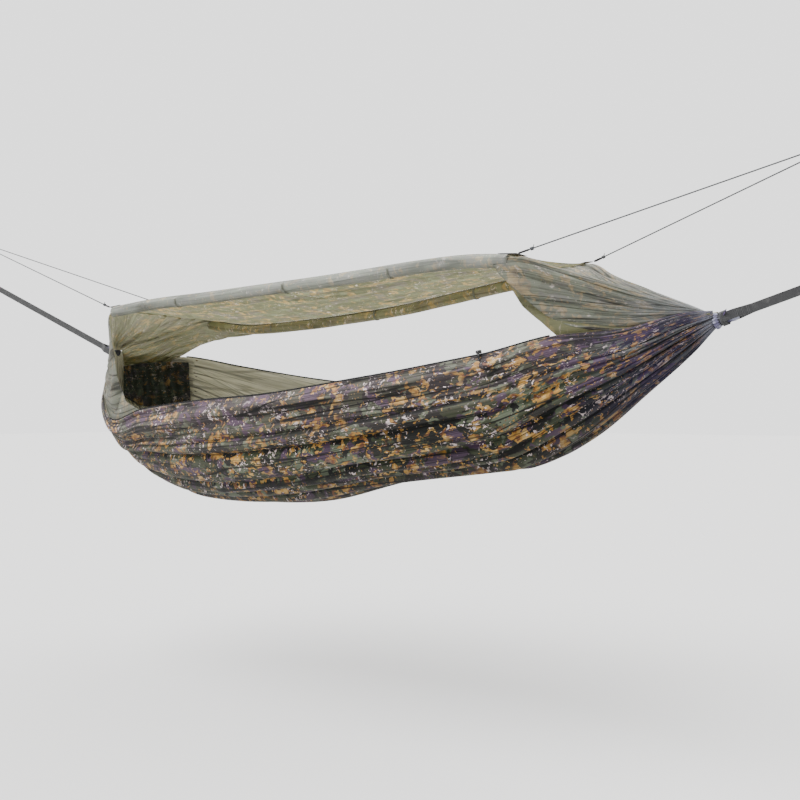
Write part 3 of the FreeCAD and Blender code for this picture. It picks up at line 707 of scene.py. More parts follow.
def bed_grid():
    """The bed's smooth wall, its flat coordinates and its folds."""
    run = np.linspace(0, BED_RUN[-1], BED_ROWS)
    share = np.linspace(0, 1, BED_COLUMNS)
    fine = np.linspace(0, 1, 700)
    rings = bed_surface(run, fine)
    grid = np.empty((BED_ROWS, BED_COLUMNS, 3))
    perimeter = np.empty(BED_ROWS)
    for i, ring in enumerate(rings):
        lengths = np.concatenate([[0], np.cumsum(np.linalg.norm(np.diff(ring, axis=0), axis=1))])
        perimeter[i] = lengths[-1]
        for axis in range(3):
            grid[i, :, axis] = np.interp(share * lengths[-1], lengths, ring[:, axis])
    distance = run - BED_RUN[-1] / 2
    along, around = np.meshgrid(distance * END_REACH / distance[-1], share, indexing="ij")
    flat = np.stack([along + HALF_SPAN, (1 - around) * BED_FLAT[0]], axis=-1)
    fold, depth = bed_folds(grid[..., 0], around, perimeter)
    return grid, flat, fold, depth


def bed_folds(along, around, perimeter):
    """Fold heights from -1 to 1, and their depth in metres: cloth gathered to a shorter perimeter."""
    spare = np.sqrt(np.maximum(BED_FLAT[0] / perimeter - 1, 0.05))[:, None]
    warp = soft_noise(along, around, 0.55, 0.09, 3) * 0.018
    place = around + warp + soft_noise(along, around, 0.2, 0.05, 4) * 0.004
    height = np.zeros_like(around)
    depth = np.zeros_like(around)
    to_right = ramp(along, 0.35, 1.10)
    ends = np.maximum(to_right, ramp(along, -0.75, -1.15))
    for count, seed, middle, added in BED_FOLDS:
        patchy = 0.6 + 0.5 * soft_noise(along, around, 0.6, 0.10, seed)
        wave = ridge(place * count + seed) * patchy * (middle + added * ends)
        period = perimeter[:, None] / count
        height += wave
        depth += wave * np.minimum(period / np.pi * spare * 2.0, period * 0.40)
    upper = np.exp(-((1 - around - BAND_MIDDLE) / BAND_WIDTH) ** 2) * (1 - 0.8 * to_right)
    bands = ridge(place * BAND_COUNT + 0.3, 0.8) * upper
    depth += bands * BAND_DEPTH
    height += bands * 1.2
    rim = ramp(np.minimum(around, 1 - around), 0, 0.03)
    rim = rim * rim * (3 - 2 * rim)
    ends_fade = np.clip((HALF_SPAN - np.abs(along)) / 0.08, 0.15, 1)
    return np.clip(height * rim * 0.8, -1, 1), depth * rim * ends_fade


def pucker(along, around):
    """Gathers of the lining beside the seam where the inner panel of the left end meets the far wall.
    """
    beyond = along - PUCKER_SEAM
    near_seam = np.where(beyond > 0, np.exp(-beyond / PUCKER_FADE), 0.0)
    wander = 0.4 * soft_noise(along, around, 0.2, 0.05, 71)
    return ridge(around * PUCKER_COUNT + wander) * near_seam * ramp(around, 0.42, 0.32)


def make_bed(outer_cloth, inner_cloth, lining):
    """Both layers of the bed, a little apart, with the same folds."""
    grid, flat, fold, depth = bed_grid()
    normal = grid_normals(grid)
    gathers = pucker(grid[..., 0], 1 - flat[..., 1] / BED_FLAT[0])
    grid = grid - ORIGIN
    outer = grid + normal * (depth - OUTER_DROP)[..., None]
    inner = grid + normal * (depth * 0.9 - INNER_DROP + gathers * PUCKER_DEPTH)[..., None]
    cloth = cloth_shell("bed_outer_cloth", outer, flat, fold, BED_CLOTH, [outer_cloth, inner_cloth])
    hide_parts("bed_outer_layer")
    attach(cloth, "bed")
    # The lining's fold heights take its puckers in strongly, so that painted shade darkens their
    # valleys.
    inner_fold = np.clip(fold * 0.6 - 1.4 * gathers, -1, 1)
    back = cloth_shell("bed_inner_cloth", inner, flat, inner_fold, BED_CLOTH, [inner_cloth, lining])
    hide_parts("bed_inner_layer")
    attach(back, "bed")


def rim_at(x, side):
    """(y, z) of a rim at each x, in the knot frame."""
    q = np.array([1.0 if side == "near" else 0.0])
    rim = bed_surface(np.linspace(0, BED_RUN[-1], 800), q)[:, 0]
    return np.stack([np.interp(x, rim[:, 0], rim[:, axis]) for axis in (1, 2)], axis=-1)


# ---- the roof and its hoods ----

ROOF_SAG = 0.004


def roof_height(x, share):
    """Height of the roof at x, share 0 at its near edge and 1 at its far edge."""
    places = [s[0] / 1000 for s in ROOF_STATIONS]
    columns = []
    for station in ROOF_STATIONS:
        near, middle, far = (h / 1000 for h in station[1:])
        near_half = (near + middle) / 2 - ROOF_SAG
        far_half = (far + middle) / 2 - ROOF_SAG
        columns.append((near, near_half, middle, far_half, far))
    rows = smooth_table(places, columns, x)
    across = smooth_table([0, 0.25, 0.5, 0.75, 1], rows.T, share)
    return across.T


def make_roof(cloth, reverse):
    """The roof panel, sagging a little, with folds along it and slanting over it."""
    x = np.linspace(*ROOF_SPAN, 230)
    share = np.linspace(0, 1, 90)
    along, across = np.meshgrid(x, share, indexing="ij")
    y = (across * 2 - 1) * ROOF_HALF_WIDTH
    warp = soft_noise(along, across, 0.5, 0.2, 31) * 0.05
    wave = ridge((across + warp) * 7, 0.7) * (0.5 + 0.5 * soft_noise(along, across, 0.4, 0.3, 32))
    slant = ridge(across * 3.2 + along * 1.1 + warp * 2, 0.8)
    slant = slant * 0.5 * soft_noise(along, across, 0.5, 0.4, 33)
    calm = ramp(np.minimum(across, 1 - across), 0, 0.08)
    ends = ramp(np.minimum(along - ROOF_SPAN[0], ROOF_SPAN[1] - along), 0, 0.05)
    fold = (wave + slant) * calm
    z = roof_height(x, share) + 0.0048 * fold * ends
    grid = np.stack([along, y, z], axis=-1) - ORIGIN
    flat = np.stack([along + HALF_SPAN, y + 2.0], axis=-1)
    piece = cloth_shell("roof_cloth", grid, flat, np.clip(fold, -1, 1), LIGHT_CLOTH, [cloth, reverse])
    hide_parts("roof_panel")
    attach(piece, "roof")


# Crest and valley lines of the hoods: x, near crest, valley and far crest as (y, z), in millimetres.
RIGHT_CRESTS = (
    (700, (-272, 192), (0, 180), (272, 214)),
    (801, (-262, 190), (0, 176), (260, 226)),
    (900, (-201, 152), (0, 128), (189, 172)),
    (1030, (-136, 103), (0, 84), (128, 117)),
    (1130, (-86, 65), (0, 54), (81, 74)),
    (1200, (-50, 40), (0, 34), (47, 44)),
    (1272, (-15, 10), (0, 11), (15, 10)),
)
LEFT_CRESTS = (
    (-1272, (-15, 3), (0, 4), (15, 3)),
    (-1250, (-40, 30), (0, 27), (40, 30)),
    (-1200, (-84, 52), (0, 46), (84, 50)),
    (-1100, (-167, 100), (0, 88), (167, 94)),
    (-1000, (-262, 150), (0, 140), (262, 141)),
    (-900, (-273, 158), (0, 135), (273, 120)),
    (-700, (-273, 168), (0, 126), (273, 108)),
)
# Where the free edge of each hood starts: share round the hood from the near rim, x in millimetres.
RIGHT_EDGE = (
    (0.0, 1010), (0.02, 985), (0.043, 921), (0.08, 864), (0.127, 817), (0.16, 785), (0.20, 745),
    (0.235, 722), (0.262, 780), (0.738, 780), (0.77, 740), (0.84, 790), (0.90, 850), (0.96, 940),
    (1.0, 1000),
)
LEFT_EDGE = (
    (0.0, -790), (0.018, -850), (0.04, -914), (0.08, -955), (0.15, -980), (0.24, -1001),
    (0.262, -985), (0.735, -985), (0.765, -720), (0.805, -735), (0.83, -880), (0.905, -1010),
    (1.0, -1100),
)
NEAR_LINING_EDGE = ((0.0, 897), (0.06, 852), (0.11, 806), (0.168, 775), (0.21, 790))
FAR_LINING_EDGE = tuple((1 - share, place) for share, place in reversed(NEAR_LINING_EDGE))
# The hoods' lower edges lie this far below the bed's rims and inside them.
HOOD_LOW = 0.010
HOOD_INSIDE = 0.012
# How far the cloth sags between a crest and the valley.
HOOD_SAG = 0.005
# The crests meet the knot at HOOD_TIP, and the cloth stops just before it.
HOOD_TIP = 1.272
HOOD_STOP = 1.268
# Shares of the way round a hood: rim, crest, sag, valley, sag, crest and rim. Bends are rounded.
CROSSINGS = np.array([0, 0.25, 0.375, 0.5, 0.625, 0.75, 1.0])
ROUNDING = 0.03


def hood_points(crests, end, x, share):
    """Points of a hood at x and at a share of the way round it, both grids of the same shape."""
    places = [c[0] / 1000 for c in crests]
    values = [[v / 1000 for point in c[1:] for v in point] for c in crests]
    flat_x = x.ravel()
    table = smooth_table(places, values, flat_x)
    near = rim_at(flat_x, "near")
    far = rim_at(flat_x, "far")
    tight = np.clip((HOOD_TIP - np.abs(flat_x)) / 0.1, 0.1, 1)
    near_low = np.stack([near[:, 0] + HOOD_INSIDE * tight, near[:, 1] - HOOD_LOW * tight], axis=-1)
    far_low = np.stack([far[:, 0] - HOOD_INSIDE * tight, far[:, 1] - HOOD_LOW * tight], axis=-1)
    if end == "left":
        far_low[:, 1] -= ramp(np.abs(flat_x), 1.10, 1.23) * 0.085
    near_crest, valley, far_crest = table[:, 0:2], table[:, 2:4], table[:, 4:6]
    sag = np.stack([np.zeros_like(tight), HOOD_SAG * tight], axis=-1)
    near_sag = (near_crest + valley) / 2 - sag
    far_sag = (far_crest + valley) / 2 - sag
    ring = np.stack([near_low, near_crest, near_sag, valley, far_sag, far_crest, far_low], axis=1)
    at = share.ravel()
    rows = np.arange(len(at))
    rounded = np.zeros((len(at), 2))
    for offset in (-ROUNDING, -ROUNDING / 2, ROUNDING / 2, ROUNDING):
        spot = np.clip(at + offset * ramp(np.minimum(at, 1 - at), 0, ROUNDING), 0, 1)
        k = np.clip(np.searchsorted(CROSSINGS, spot) - 1, 0, len(CROSSINGS) - 2)
        f = ((spot - CROSSINGS[k]) / (CROSSINGS[k + 1] - CROSSINGS[k]))[:, None]
        rounded += (ring[rows, k] * (1 - f) + ring[rows, k + 1] * f) / 4
    return np.concatenate([flat_x[:, None], rounded], axis=1).reshape(*x.shape, 3)


def make_hood(name, node, end, crests, edge, materials, count, flat_size, inset=0.0):
    """A sheet from the roof's end to the knot, whose lower edges lie inside the bed's rims.
    It goes round as far as its free edge does, with count folds in a whole hood."""
    first, last = edge[0][0], edge[-1][0]
    share = np.linspace(first, last, int(60 + 180 * (last - first)))
    starts = np.interp(share, [e[0] for e in edge], [e[1] / 1000 for e in edge])
    run, around = np.meshgrid(np.linspace(0, 1, 96), share, indexing="ij")
    x = starts + (ENDS[end] * HOOD_STOP - starts) * run
    if end == "left":
        x = x[::-1]
        run = run[::-1]
    grid = hood_points(crests, end, x, around)
    slant = around - 0.10 * run * np.sign(around - 0.5)
    warp = soft_noise(x, around, 0.18, 0.10, 41) * 0.016
    wave = ridge((slant + warp) * count, 0.6) * (0.6 + 0.5 * soft_noise(x, around, 0.3, 0.09, 42))
    finer = ridge((slant + warp) * count * 2.3, 0.7) * 0.45 * run
    calm = np.clip(np.minimum(around, 1 - around) / 0.03, 0.1, 1) * np.clip((1 - run) / 0.06, 0.1, 1)
    width = np.linalg.norm(np.diff(grid, axis=1), axis=2).sum(axis=1) / (last - first)
    period = (width / count)[:, None]
    fold = (wave + finer) * calm
    depth = fold * period * 0.21 * (0.2 + 0.8 * run)
    grid = grid + grid_normals(grid) * (depth - 0.002 - inset)[..., None]
    flat = np.stack([x + HALF_SPAN, around * flat_size[0] + 3.0], axis=-1)
    piece = cloth_shell(name, grid - ORIGIN, flat, np.clip(fold, -1, 1), LIGHT_CLOTH, materials)
    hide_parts(node)
    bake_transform(piece)


PANEL_FLAT = (0.19, 0.30)


def make_panel(cloth):
    """The panel inside the left end, through its columns of low and high points."""
    at = np.linspace(0, 1, 50)
    up = np.linspace(0, 1, 40)
    places = np.linspace(0, 1, len(LEFT_PANEL))
    low, high = (
        smooth_table(places, np.array([pair[which] for pair in LEFT_PANEL]) / 1000, at)
        for which in (0, 1)
    )
    side, rise = np.meshgrid(at, up, indexing="ij")
    grid = low[:, None, :] * (1 - rise)[..., None] + high[:, None, :] * rise[..., None]
    fold = ridge((side + 0.06 * soft_noise(side, rise, 0.4, 0.3, 51)) * 8, 0.7)
    grid = grid + grid_normals(grid) * (0.004 * fold)[..., None]
    flat = np.stack([side * PANEL_FLAT[1], rise * PANEL_FLAT[0] + 5.0], axis=-1)
    piece = cloth_shell("left_panel_cloth", grid - ORIGIN, flat, fold, LIGHT_CLOTH, [cloth, cloth])
    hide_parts("left_inner_panel")
    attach(piece, "bed")


# The roll of a door: turns, distance from the roof's ends, radius inside and its growth, and how far
# its middle hangs under the roof's edge.
DOOR_TURNS = 9.5
DOOR_INSET = 0.026
ROLL_INSIDE = 0.0042
ROLL_GROWTH = 0.0145
ROLL_DROP = 0.0225


def make_door(side, cloth):
    """A side door rolled up under the roof's edge: a spiral of cloth whose end is sewn to the edge."""
    x = np.linspace(ROOF_SPAN[0] + DOOR_INSET, ROOF_SPAN[1] - DOOR_INSET, 150)
    turn = np.linspace(0, 1, int(DOOR_TURNS * 14))
    along, around = np.meshgrid(x, turn, indexing="ij")
    wobble = 1 + 0.05 * soft_noise(along, around, 0.10, 0.12, 61)
    slack = 1 + 0.06 * soft_noise(along, 0 * around, 0.16, 1, 62)
    reach = (ROLL_INSIDE + ROLL_GROWTH * turn) * wobble * slack
    angle = 2 * math.pi * DOOR_TURNS * (turn - 1)
    sign = SIDES[side]
    edge = roof_height(x, np.array([0.0 if side == "near" else 1.0]))
    y = sign * (ROOF_HALF_WIDTH + reach * np.cos(angle))
    z = edge - ROLL_DROP + reach * np.sin(angle)
    climb = np.linspace(0, math.pi / 2, 7)[1:]
    out = np.abs(y[:, -1:]) - ROOF_HALF_WIDTH
    tail_y = sign * (ROOF_HALF_WIDTH + out * np.cos(climb))
    tail_z = z[:, -1:] + (edge - 0.0009 - z[:, -1:]) * np.sin(climb)
    y = np.concatenate([y, tail_y], axis=1)
    z = np.concatenate([z, tail_z], axis=1)
    columns = np.arange(y.shape[1])
    along, run = np.meshgrid(x, columns * DOOR_FLAT[0] / columns[-1], indexing="ij")
    grid = np.stack([along, y, z], axis=-1)
    flat = np.stack([along + HALF_SPAN, run + 7.0], axis=-1)
    fold = 0.8 * soft_noise(along, columns, 0.07, 3.5, 63)
    if side == "far":
        grid, flat, fold = (part[:, ::-1] for part in (grid, flat, fold))
    piece = cloth_shell(f"{side}_rolled_door_cloth", grid - ORIGIN, flat, fold, DOOR_CLOTH, [cloth] * 2)
    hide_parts(f"{side}_rolled_door")
    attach(piece, "roof")


# ---- trim ----

def join_parts(name, parts, material):
    """One mesh from (points, faces) parts."""
    verts, faces = [], []
    for points, quads in parts:
        start = len(verts)
        verts.extend([tuple(p) for p in points])
        faces.extend([tuple(int(i) + start for i in quad) for quad in quads])
    return link_mesh(name, verts, faces, [material])


def ring_faces(rings, sides):
    """The quads between rings of points that follow one another."""
    faces = []
    for i in range(rings - 1):
        for j in range(sides):
            k = (j + 1) % sides
            faces.append((i * sides + j, i * sides + k, (i + 1) * sides + k, (i + 1) * sides + j))
    return faces


def capped_faces(rings, sides):
    """The same, with a face over each end."""
    last = (rings - 1) * sides
    return ring_faces(rings, sides) + [tuple(range(sides))[::-1], tuple(range(last, last + sides))]


def tube(points, radius, sides=8):
    """(points, faces) of a round tube along a path."""
    points = np.asarray(points, float)
    tangent = np.gradient(points, axis=0)
    tangent /= np.linalg.norm(tangent, axis=1, keepdims=True)
    helper = np.array([0, 0, 1.0]) if abs(tangent[0][2]) < 0.9 else np.array([1.0, 0, 0])
    side = np.cross(tangent[0], helper)
    turns = np.linspace(0, 2 * np.pi, sides, endpoint=False)
    rings = []
    for point, along in zip(points, tangent):
        side = side - along * np.dot(side, along)
        side /= np.linalg.norm(side)
        other = np.cross(along, side)
        ring = np.cos(turns)[:, None] * side + np.sin(turns)[:, None] * other
        rings.append(point + radius * ring)
    return np.concatenate(rings), capped_faces(len(points), sides)


def ribbon(points, across, thickness):
    """(points, faces) of a flat tape along a path; across holds its half width as vectors."""
    face = np.cross(np.gradient(points, axis=0), across)
    face /= np.linalg.norm(face, axis=1, keepdims=True)
    steps = np.linspace(-1, 1, 6)
    columns = [points + across * s + face * thickness / 2 for s in steps]
    columns += [points + across * s - face * thickness / 2 for s in steps[::-1]]
    verts = np.stack(columns, axis=1).reshape(-1, 3)
    return verts, capped_faces(len(points), len(columns))


ZIP_SPAN = (-1.060, 0.873)
TAPE_HEIGHT = 0.0060
TAPE_SKIN = 0.0009
TAPE_INWARD = 0.0040
COIL_RADIUS = 0.0016
COIL_PITCH = 0.0042
COIL_WIRE = 0.0006
COIL_STEPS = 6


def make_zip_tape(side, material):
    """A zip's tape standing on a rim, with its coil along the top edge."""
    inward = np.array([0, -SIDES[side] * TAPE_INWARD, 0]) - ORIGIN
    x = np.linspace(*ZIP_SPAN, 200)
    middle = np.column_stack([x, rim_at(x, side)]) + inward + [0, 0, TAPE_HEIGHT / 2 - 0.001]
    upright = np.tile([0, 0, TAPE_HEIGHT / 2], (len(x), 1))
    turns = int((ZIP_SPAN[1] - ZIP_SPAN[0]) / COIL_PITCH)
    fine = np.linspace(*ZIP_SPAN, turns * COIL_STEPS)
    angle = np.arange(len(fine)) * 2 * np.pi / COIL_STEPS
    coil = np.column_stack([fine, rim_at(fine, side)]) + inward + [0, 0, TAPE_HEIGHT - 0.0015]
    coil[:, 1] += COIL_RADIUS * np.cos(angle)
    coil[:, 2] += COIL_RADIUS * np.sin(angle)
    parts = [ribbon(middle, upright, TAPE_SKIN), tube(coil, COIL_WIRE, sides=4)]
    piece = join_parts(f"{side}_zip_tape_and_coil", parts, material)
    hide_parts(f"{side}_zip_tape")
    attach(piece, "bed")


def strap_axes(end):
    """Unit vectors of a strap's frame: along it, sideways and up."""
    along = strap_direction(end)
    along = along / np.linalg.norm(along)
    sideways = np.array([0.0, 1.0, 0.0]) * ENDS[end]
    up = np.cross(along, sideways)
    return along, sideways, up if up[2] > 0 else -up


def knot_at(end):
    """The middle of a gathering knot."""
    return shared((ENDS[end] * HALF_SPAN, 0, 0))


# The gathered cloth at a knot: its pleats, then its profile as (distance along the strap, radius).
GATHER_PLEATS = 17
GATHER_CREASES = 41
GATHER_PROFILE = (
    (-0.0285, 0.0235), (-0.0215, 0.0240), (-0.015, 0.0200), (-0.010, 0.0155), (0.000, 0.0146),
    (0.010, 0.0150), (0.018, 0.0166), (0.027, 0.0176), (0.0345, 0.0150), (0.0365, 0.0090),
)


def make_gather(end, material):
    """The bunched cloth at a knot: pleats drawn in under the whipping and flared past it."""
    along, sideways, up = strap_axes(end)
    profile = np.array(GATHER_PROFILE)
    at = np.linspace(profile[0, 0], profile[-1, 0], 46)
    radius = np.interp(at, profile[:, 0], profile[:, 1])
    turns = np.linspace(0, 2 * np.pi, 160, endpoint=False)
    flare = ramp(at, 0.008, 0.028)[:, None]
    pleats = np.sin(turns * GATHER_PLEATS + 1.3 * np.sin(turns * 3))
    r = radius[:, None] * (0.93 + 0.06 * pleats + 0.012 * np.sin(turns * GATHER_CREASES))
    r = r - 0.0006 + flare * 0.0006 * pleats
    push = 0.002 * np.sin(turns * 5 + 1) * flare
    knot = knot_at(end)
    ring = (
        knot
        + (at[:, None] + push)[..., None] * along
        + (r * np.cos(turns))[..., None] * sideways
        + (r * np.sin(turns))[..., None] * up
    )
    count = len(turns)
    verts = ring.reshape(-1, 3)
    hub = len(verts)
    verts = np.concatenate([verts, [knot + along * at[0], knot + along * (at[-1] - 0.006)]])
    faces = ring_faces(len(at), count)
    for j in range(count):
        k = (j + 1) % count
        faces.append((hub, k, j))
        faces.append((hub + 1, hub - count + j, hub - count + k))
    piece = link_mesh(f"{end}_gathered_cloth", verts, faces, [material])
    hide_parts(f"{end}_end_gather")
    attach(piece, "bed")


# Loose tape: distance from the strap's line, length, half width, thickness and bow.
TAIL_OUT = 0.0175
TAIL_LENGTH = 0.028
TAIL_HALF_WIDTH = 0.0036
TAIL_SKIN = 0.0008
TAIL_BOW = 0.006


def make_tails(end, turns, material):
    """Loose ends of tape that stick out of the knot: each at an angle round it, leaning back."""
    along, sideways, up = strap_axes(end)
    t = np.linspace(0, 1, 14)[:, None]
    parts = []
    for around, lean in np.radians(turns):
        out = sideways * math.cos(around) * -ENDS[end] + up * math.sin(around)
        course = out * math.cos(lean) - along * math.sin(lean)
        bow = np.sin(t * np.pi * 0.8) * TAIL_BOW
        path = knot_at(end) + out * TAIL_OUT + t * TAIL_LENGTH * course + bow * along
        twist = t * 0.9
        width = np.cross(out, along) * np.cos(twist) + along * np.sin(twist)
        parts.append(ribbon(path, width * TAIL_HALF_WIDTH, TAIL_SKIN))
    piece = join_parts(f"{end}_tape_tails", parts, material)
    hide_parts(f"{end}_knot_tails")
    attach(piece, "bed")


# A line knot: how far it reaches back from the line's start, its wrap, and the tail of the cord.
KNOT_REACH = 0.0125
WRAP_TURNS = 4
WRAP_INSET = 0.0022
WRAP_LENGTH = 0.008
WRAP_RADIUS = 0.0034
KNOT_TAIL = 0.011
WRAP_CORD, CORE_CORD, TAIL_CORD = 0.0018, 0.0021, 0.0012


def make_line_knot(side, end, material):
    """A wound knot where a guy line joins its shock cord: a helix of cord round the strands."""
    corner = roof_corner(side, end)
    far = line_end(side, end)
    along = (far - corner) / np.linalg.norm(far - corner)
    across = np.cross(along, [0, 0, 1.0])
    across /= np.linalg.norm(across)
    up = np.cross(across, along)
    t = np.linspace(0, 1, 72)[:, None]
    angle = 2 * np.pi * WRAP_TURNS * t
    start = LINE_START - KNOT_REACH
    wrap = (
        corner
        + (start + WRAP_INSET + WRAP_LENGTH * t) * along
        + WRAP_RADIUS * (np.cos(angle) * across + np.sin(angle) * up)
    )
    core = corner + np.linspace(start - 0.001, LINE_START, 5)[:, None] * along
    tail = wrap[-1] + np.linspace(0, KNOT_TAIL, 7)[:, None] * (up * 0.8 + along * 0.5)
    parts = [tube(wrap, WRAP_CORD), tube(core, CORE_CORD), tube(tail, TAIL_CORD)]
    piece = join_parts(f"{side}_{end}_wound_knot", parts, material)
    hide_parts(f"{side}_{end}_line_knot")
    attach(piece, "roof")


# ---- carried-over nodes ----

def give(name, material):
    """Gives a CAD node a material."""
    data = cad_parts[name].data
    data.materials.clear()
    data.materials.append(material)
    data.polygons.foreach_set("use_smooth", [False] * len(data.polygons))


STRAP_COLOURS = ((0.030, 0.031, 0.034, 1), (0.085, 0.086, 0.090, 1))


def dress_nodes(finish):
    """Gives every CAD node that stays visible its material."""
    for end in ENDS:
        give(f"{end}_strap", webbing(f"{end}_webbing", strap_direction(end), *STRAP_COLOURS))
        give(f"{end}_strap_stitching", finish["thread"])
        give(f"{end}_whipping", finish["whipping"])
    for side in SIDES:
        give(f"{side}_zip_slider", finish["metal"])
        give(f"{side}_zip_pull", finish["metal"])
        give(f"{side}_door_ties", finish["elastic"])
        for end in ENDS:
            give(f"{side}_{end}_corner_patch", finish["patch"])
            give(f"{side}_{end}_shock_loop", finish["shock"])
            give(f"{side}_{end}_end_loop", finish["line"])


def make_lines(material):
    """The four guy lines."""
    for side in SIDES:
        for end in ENDS:
            points = line_points(side, end)
            name = f"{side}_{end}_guy_line"
            piece = curve_through(f"{name}_cord", points, LINE_RADIUS, material)
            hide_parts(name)
            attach(piece, "roof")


# ---- stage ----

def add_sun(name, towards, spread, power):
    """A wide soft light from the direction towards, spread in degrees."""
    data = bpy.data.lights.new(name, "SUN")
    data.angle = math.radians(spread)
    data.energy = power
    lamp = placed(name, data)
    lamp.rotation_euler = Vector(towards).to_track_quat("Z", "Y").to_euler()


FLOOR_REACH = 40
FLOOR_LEVEL = -1.3


def add_stage():
    """A plain pale floor, an even studio fill and two wide lights."""
    material, tree = new_material("floor_paper")
    shader = add(tree, "ShaderNodeBsdfPrincipled", {"Base Color": grey(0.86), "Roughness": 0.9})
    add(tree, "ShaderNodeOutputMaterial", {"Surface": shader.outputs[0]})
    signs = ((-1, -1), (1, -1), (1, 1), (-1, 1))
    corners = [(x * FLOOR_REACH, y * FLOOR_REACH, FLOOR_LEVEL) for x, y in signs]
    floor = link_mesh("floor", corners, [(0, 1, 2, 3)], [material])
    floor.visible_diffuse = False
    floor.visible_glossy = False
    world = bpy.data.worlds.new("studio")
    world.use_nodes = True
    sky = world.node_tree
    sky.nodes.clear()
    seen = add(sky, "ShaderNodeBackground", {"Color": grey(1.0), "Strength": 2.0})
    fill = add(sky, "ShaderNodeBackground", {"Color": (1.0, 0.99, 0.97, 1), "Strength": 0.95})
    rays = add(sky, "ShaderNodeLightPath")
    inputs = {0: rays.outputs["Is Camera Ray"], 1: fill.outputs[0], 2: seen.outputs[0]}
    both = add(sky, "ShaderNodeMixShader", inputs)
    add(sky, "ShaderNodeOutputWorld", {"Surface": both.outputs[0]})
    bpy.context.scene.world = world
    add_sun("sky_light", (-0.35, -0.50, 1.0), 60, 4.2)
    add_sun("back_light", (0.2, 0.7, 1.0), 70, 1.8)


# ---- the model ----

add_camera()

guy_cord = braided("guy_line_braid", (0.05, 0.055, 0.06, 1), (0.13, 0.14, 0.15, 1))
make_lines(guy_cord)

# Painted shade with a blue cast, towards the right end of the bed.
NAVY_SHADE = (0.024, 0.018, 0.095, 1)
# Painted highlight, pale blue-white, at the knots.
FROST_HIGHLIGHT = (0.52, 0.56, 0.66, 1)
MAUVE = (0.30, 0.22, 0.25, 1)
outer_print = printed_cloth(
    "camouflage_outer", PRINT, 0.03, crease_shade=1.0, crest=0.07, tints=[
        # Painted shade: the bottom of the bed darkened towards black.
        (grey(0.004), "middle", 0.42, 0.05, 0.50),
        (MAUVE, "middle", 0.36, 0.62, 0.20),
        # Painted shade: darker navy towards the right end.
        (NAVY_SHADE, "along", 2.10, 2.45, 0.48),
        # Painted highlight: pale blue-white at the right knot and at the left knot.
        (FROST_HIGHLIGHT, "along", 2.50, 2.58, 0.40),
        (FROST_HIGHLIGHT, "along", 0.16, 0.02, 0.45),
    ])
inner_print = printed_cloth("camouflage_reverse", print_mixed_towards((0.34, 0.33, 0.26, 1), 0.55), 0.1)
lining = plain_cloth("lining", (0.72, 0.71, 0.58, 1), (0.88, 0.86, 0.72, 1))
roof_print = printed_cloth("roof_top", print_mixed_towards((0.22, 0.25, 0.16, 1), 0.45), 0.1, 0.6, crease_shade=0.4)
# The underside: the paler reverse of the print, brightened towards yellow as painted light for the
# light let through.
roof_under = printed_cloth("roof_underside", print_mixed_towards((0.76, 0.72, 0.32, 1), 0.36), 0.05, 0.8,
                           crease_shade=0.3)
door_pale = printed_cloth("door_reverse", print_mixed_towards((0.52, 0.55, 0.48, 1), 0.70), 0.1, 0.2, crease_shade=0.35)
# The far roll: the print brightened as painted light, where the roll lies in shade.
far_door_painted_light = printed_cloth("far_door_painted_light", print_mixed_towards((0.74, 0.72, 0.44, 1), 0.45), 0.1, crease_shade=0.25)
hood_print = printed_cloth(
    "hood_outside", print_mixed_towards((0.33, 0.35, 0.30, 1), 0.66), 0.1, 0.35, crease_shade=0.8, crest=0.15, tints=[
        # Painted highlight: pale blue-white towards the right knot.
        (FROST_HIGHLIGHT, "along", 2.30, 2.55, 0.45),
    ])
# The hoods' inside: the paler reverse of the print, brightened towards yellow as painted light for the
# light let through.
hood_under = printed_cloth("hood_inside", print_mixed_towards((1.0, 0.95, 0.45, 1), 0.44), 0.05, 0.75, crease_shade=0.2)
lining_print = printed_cloth("hood_lining", print_mixed_towards((0.34, 0.34, 0.20, 1), 0.75), 0.05, 0.5, crease_shade=0.3)
# The panel: the print darkened almost to black as painted shade.
panel_painted_shade = printed_cloth("inner_panel", print_mixed_towards((0.030, 0.045, 0.040, 1), 0.70), 0.03, crease_shade=0.4)

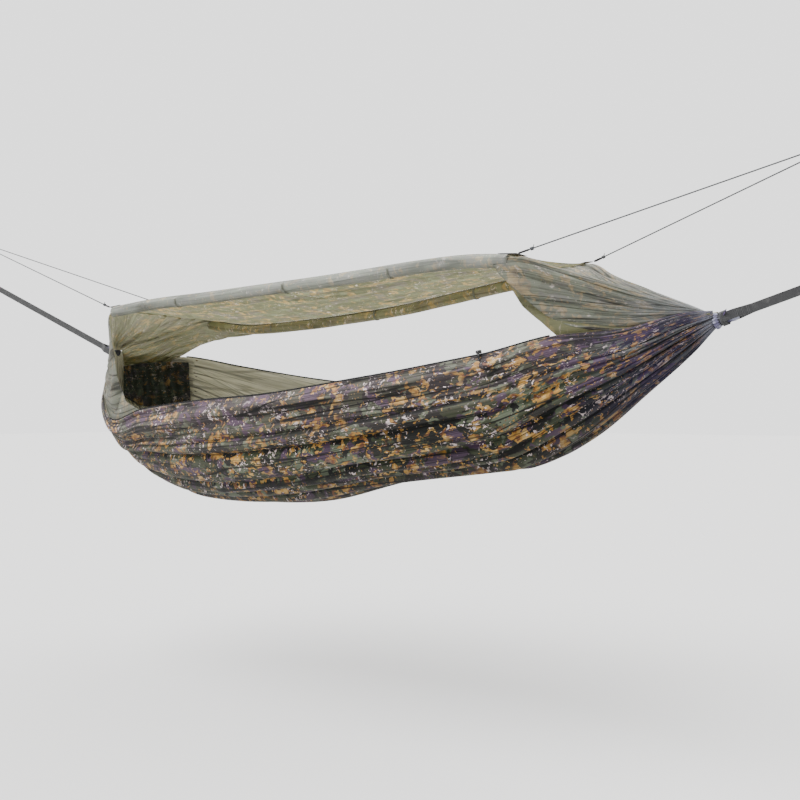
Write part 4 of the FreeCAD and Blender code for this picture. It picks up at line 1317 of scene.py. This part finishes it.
make_bed(outer_print, inner_print, lining)
make_roof(roof_print, roof_under)
outside = [hood_print, hood_under]
inside = [lining_print, lining_print]
make_hood("right_hood_cloth", "right_hood", "right", RIGHT_CRESTS, RIGHT_EDGE, outside, 15,
          (0.95, 0.50))
make_hood("left_hood_cloth", "left_hood", "left", LEFT_CRESTS, LEFT_EDGE, outside, 15,
          (1.20, 0.45))
for side_name, lining_edge in (("near", NEAR_LINING_EDGE), ("far", FAR_LINING_EDGE)):
    make_hood(f"{side_name}_hood_lining", "right_hood_lining", "right", RIGHT_CRESTS, lining_edge,
              inside, 9, (0.20, 0.45), inset=0.006)
make_panel(panel_painted_shade)
make_door("near", door_pale)
make_door("far", far_door_painted_light)

tape_cloth = patch_cloth("zip_tape_weave", (0.010, 0.010, 0.012, 1), (0.030, 0.030, 0.034, 1))
# The right gather: pale blue-white all over as a painted highlight.
highlit_gather_cloth = patch_cloth("gathered_cloth", (0.16, 0.15, 0.26, 1), (0.60, 0.62, 0.74, 1))
bunch_shaded = patch_cloth("shaded_gather", (0.05, 0.055, 0.07, 1), (0.16, 0.17, 0.20, 1))
tail_tape = patch_cloth("tape_tails", (0.040, 0.018, 0.090, 1), (0.12, 0.07, 0.20, 1))
for side_name in SIDES:
    make_zip_tape(side_name, tape_cloth)
    for end_name in ENDS:
        make_line_knot(side_name, end_name, guy_cord)
make_gather("left", bunch_shaded)
make_gather("right", highlit_gather_cloth)
make_tails("right", ((20, -35), (165, -60)), tail_tape)
make_tails("left", ((30, -80),), tail_tape)
dress_nodes({
    "thread": braided("stitching_thread", (0.10, 0.10, 0.11, 1), (0.24, 0.24, 0.25, 1), 0.001),
    "whipping": braided("whipping_braid", (0.012, 0.012, 0.015, 1), (0.06, 0.06, 0.07, 1)),
    "metal": metal("zip_metal", (0.05, 0.05, 0.055, 1)),
    "elastic": braided("tie_elastic", (0.17, 0.18, 0.15, 1), (0.32, 0.33, 0.27, 1)),
    "patch": patch_cloth("patch_cloth", (0.008, 0.010, 0.022, 1), (0.030, 0.034, 0.060, 1)),
    "shock": braided("shock_cord", (0.008, 0.008, 0.009, 1), (0.05, 0.05, 0.055, 1)),
    "line": braided("line_knots", (0.03, 0.032, 0.036, 1), (0.11, 0.115, 0.12, 1)),
})
add_stage()
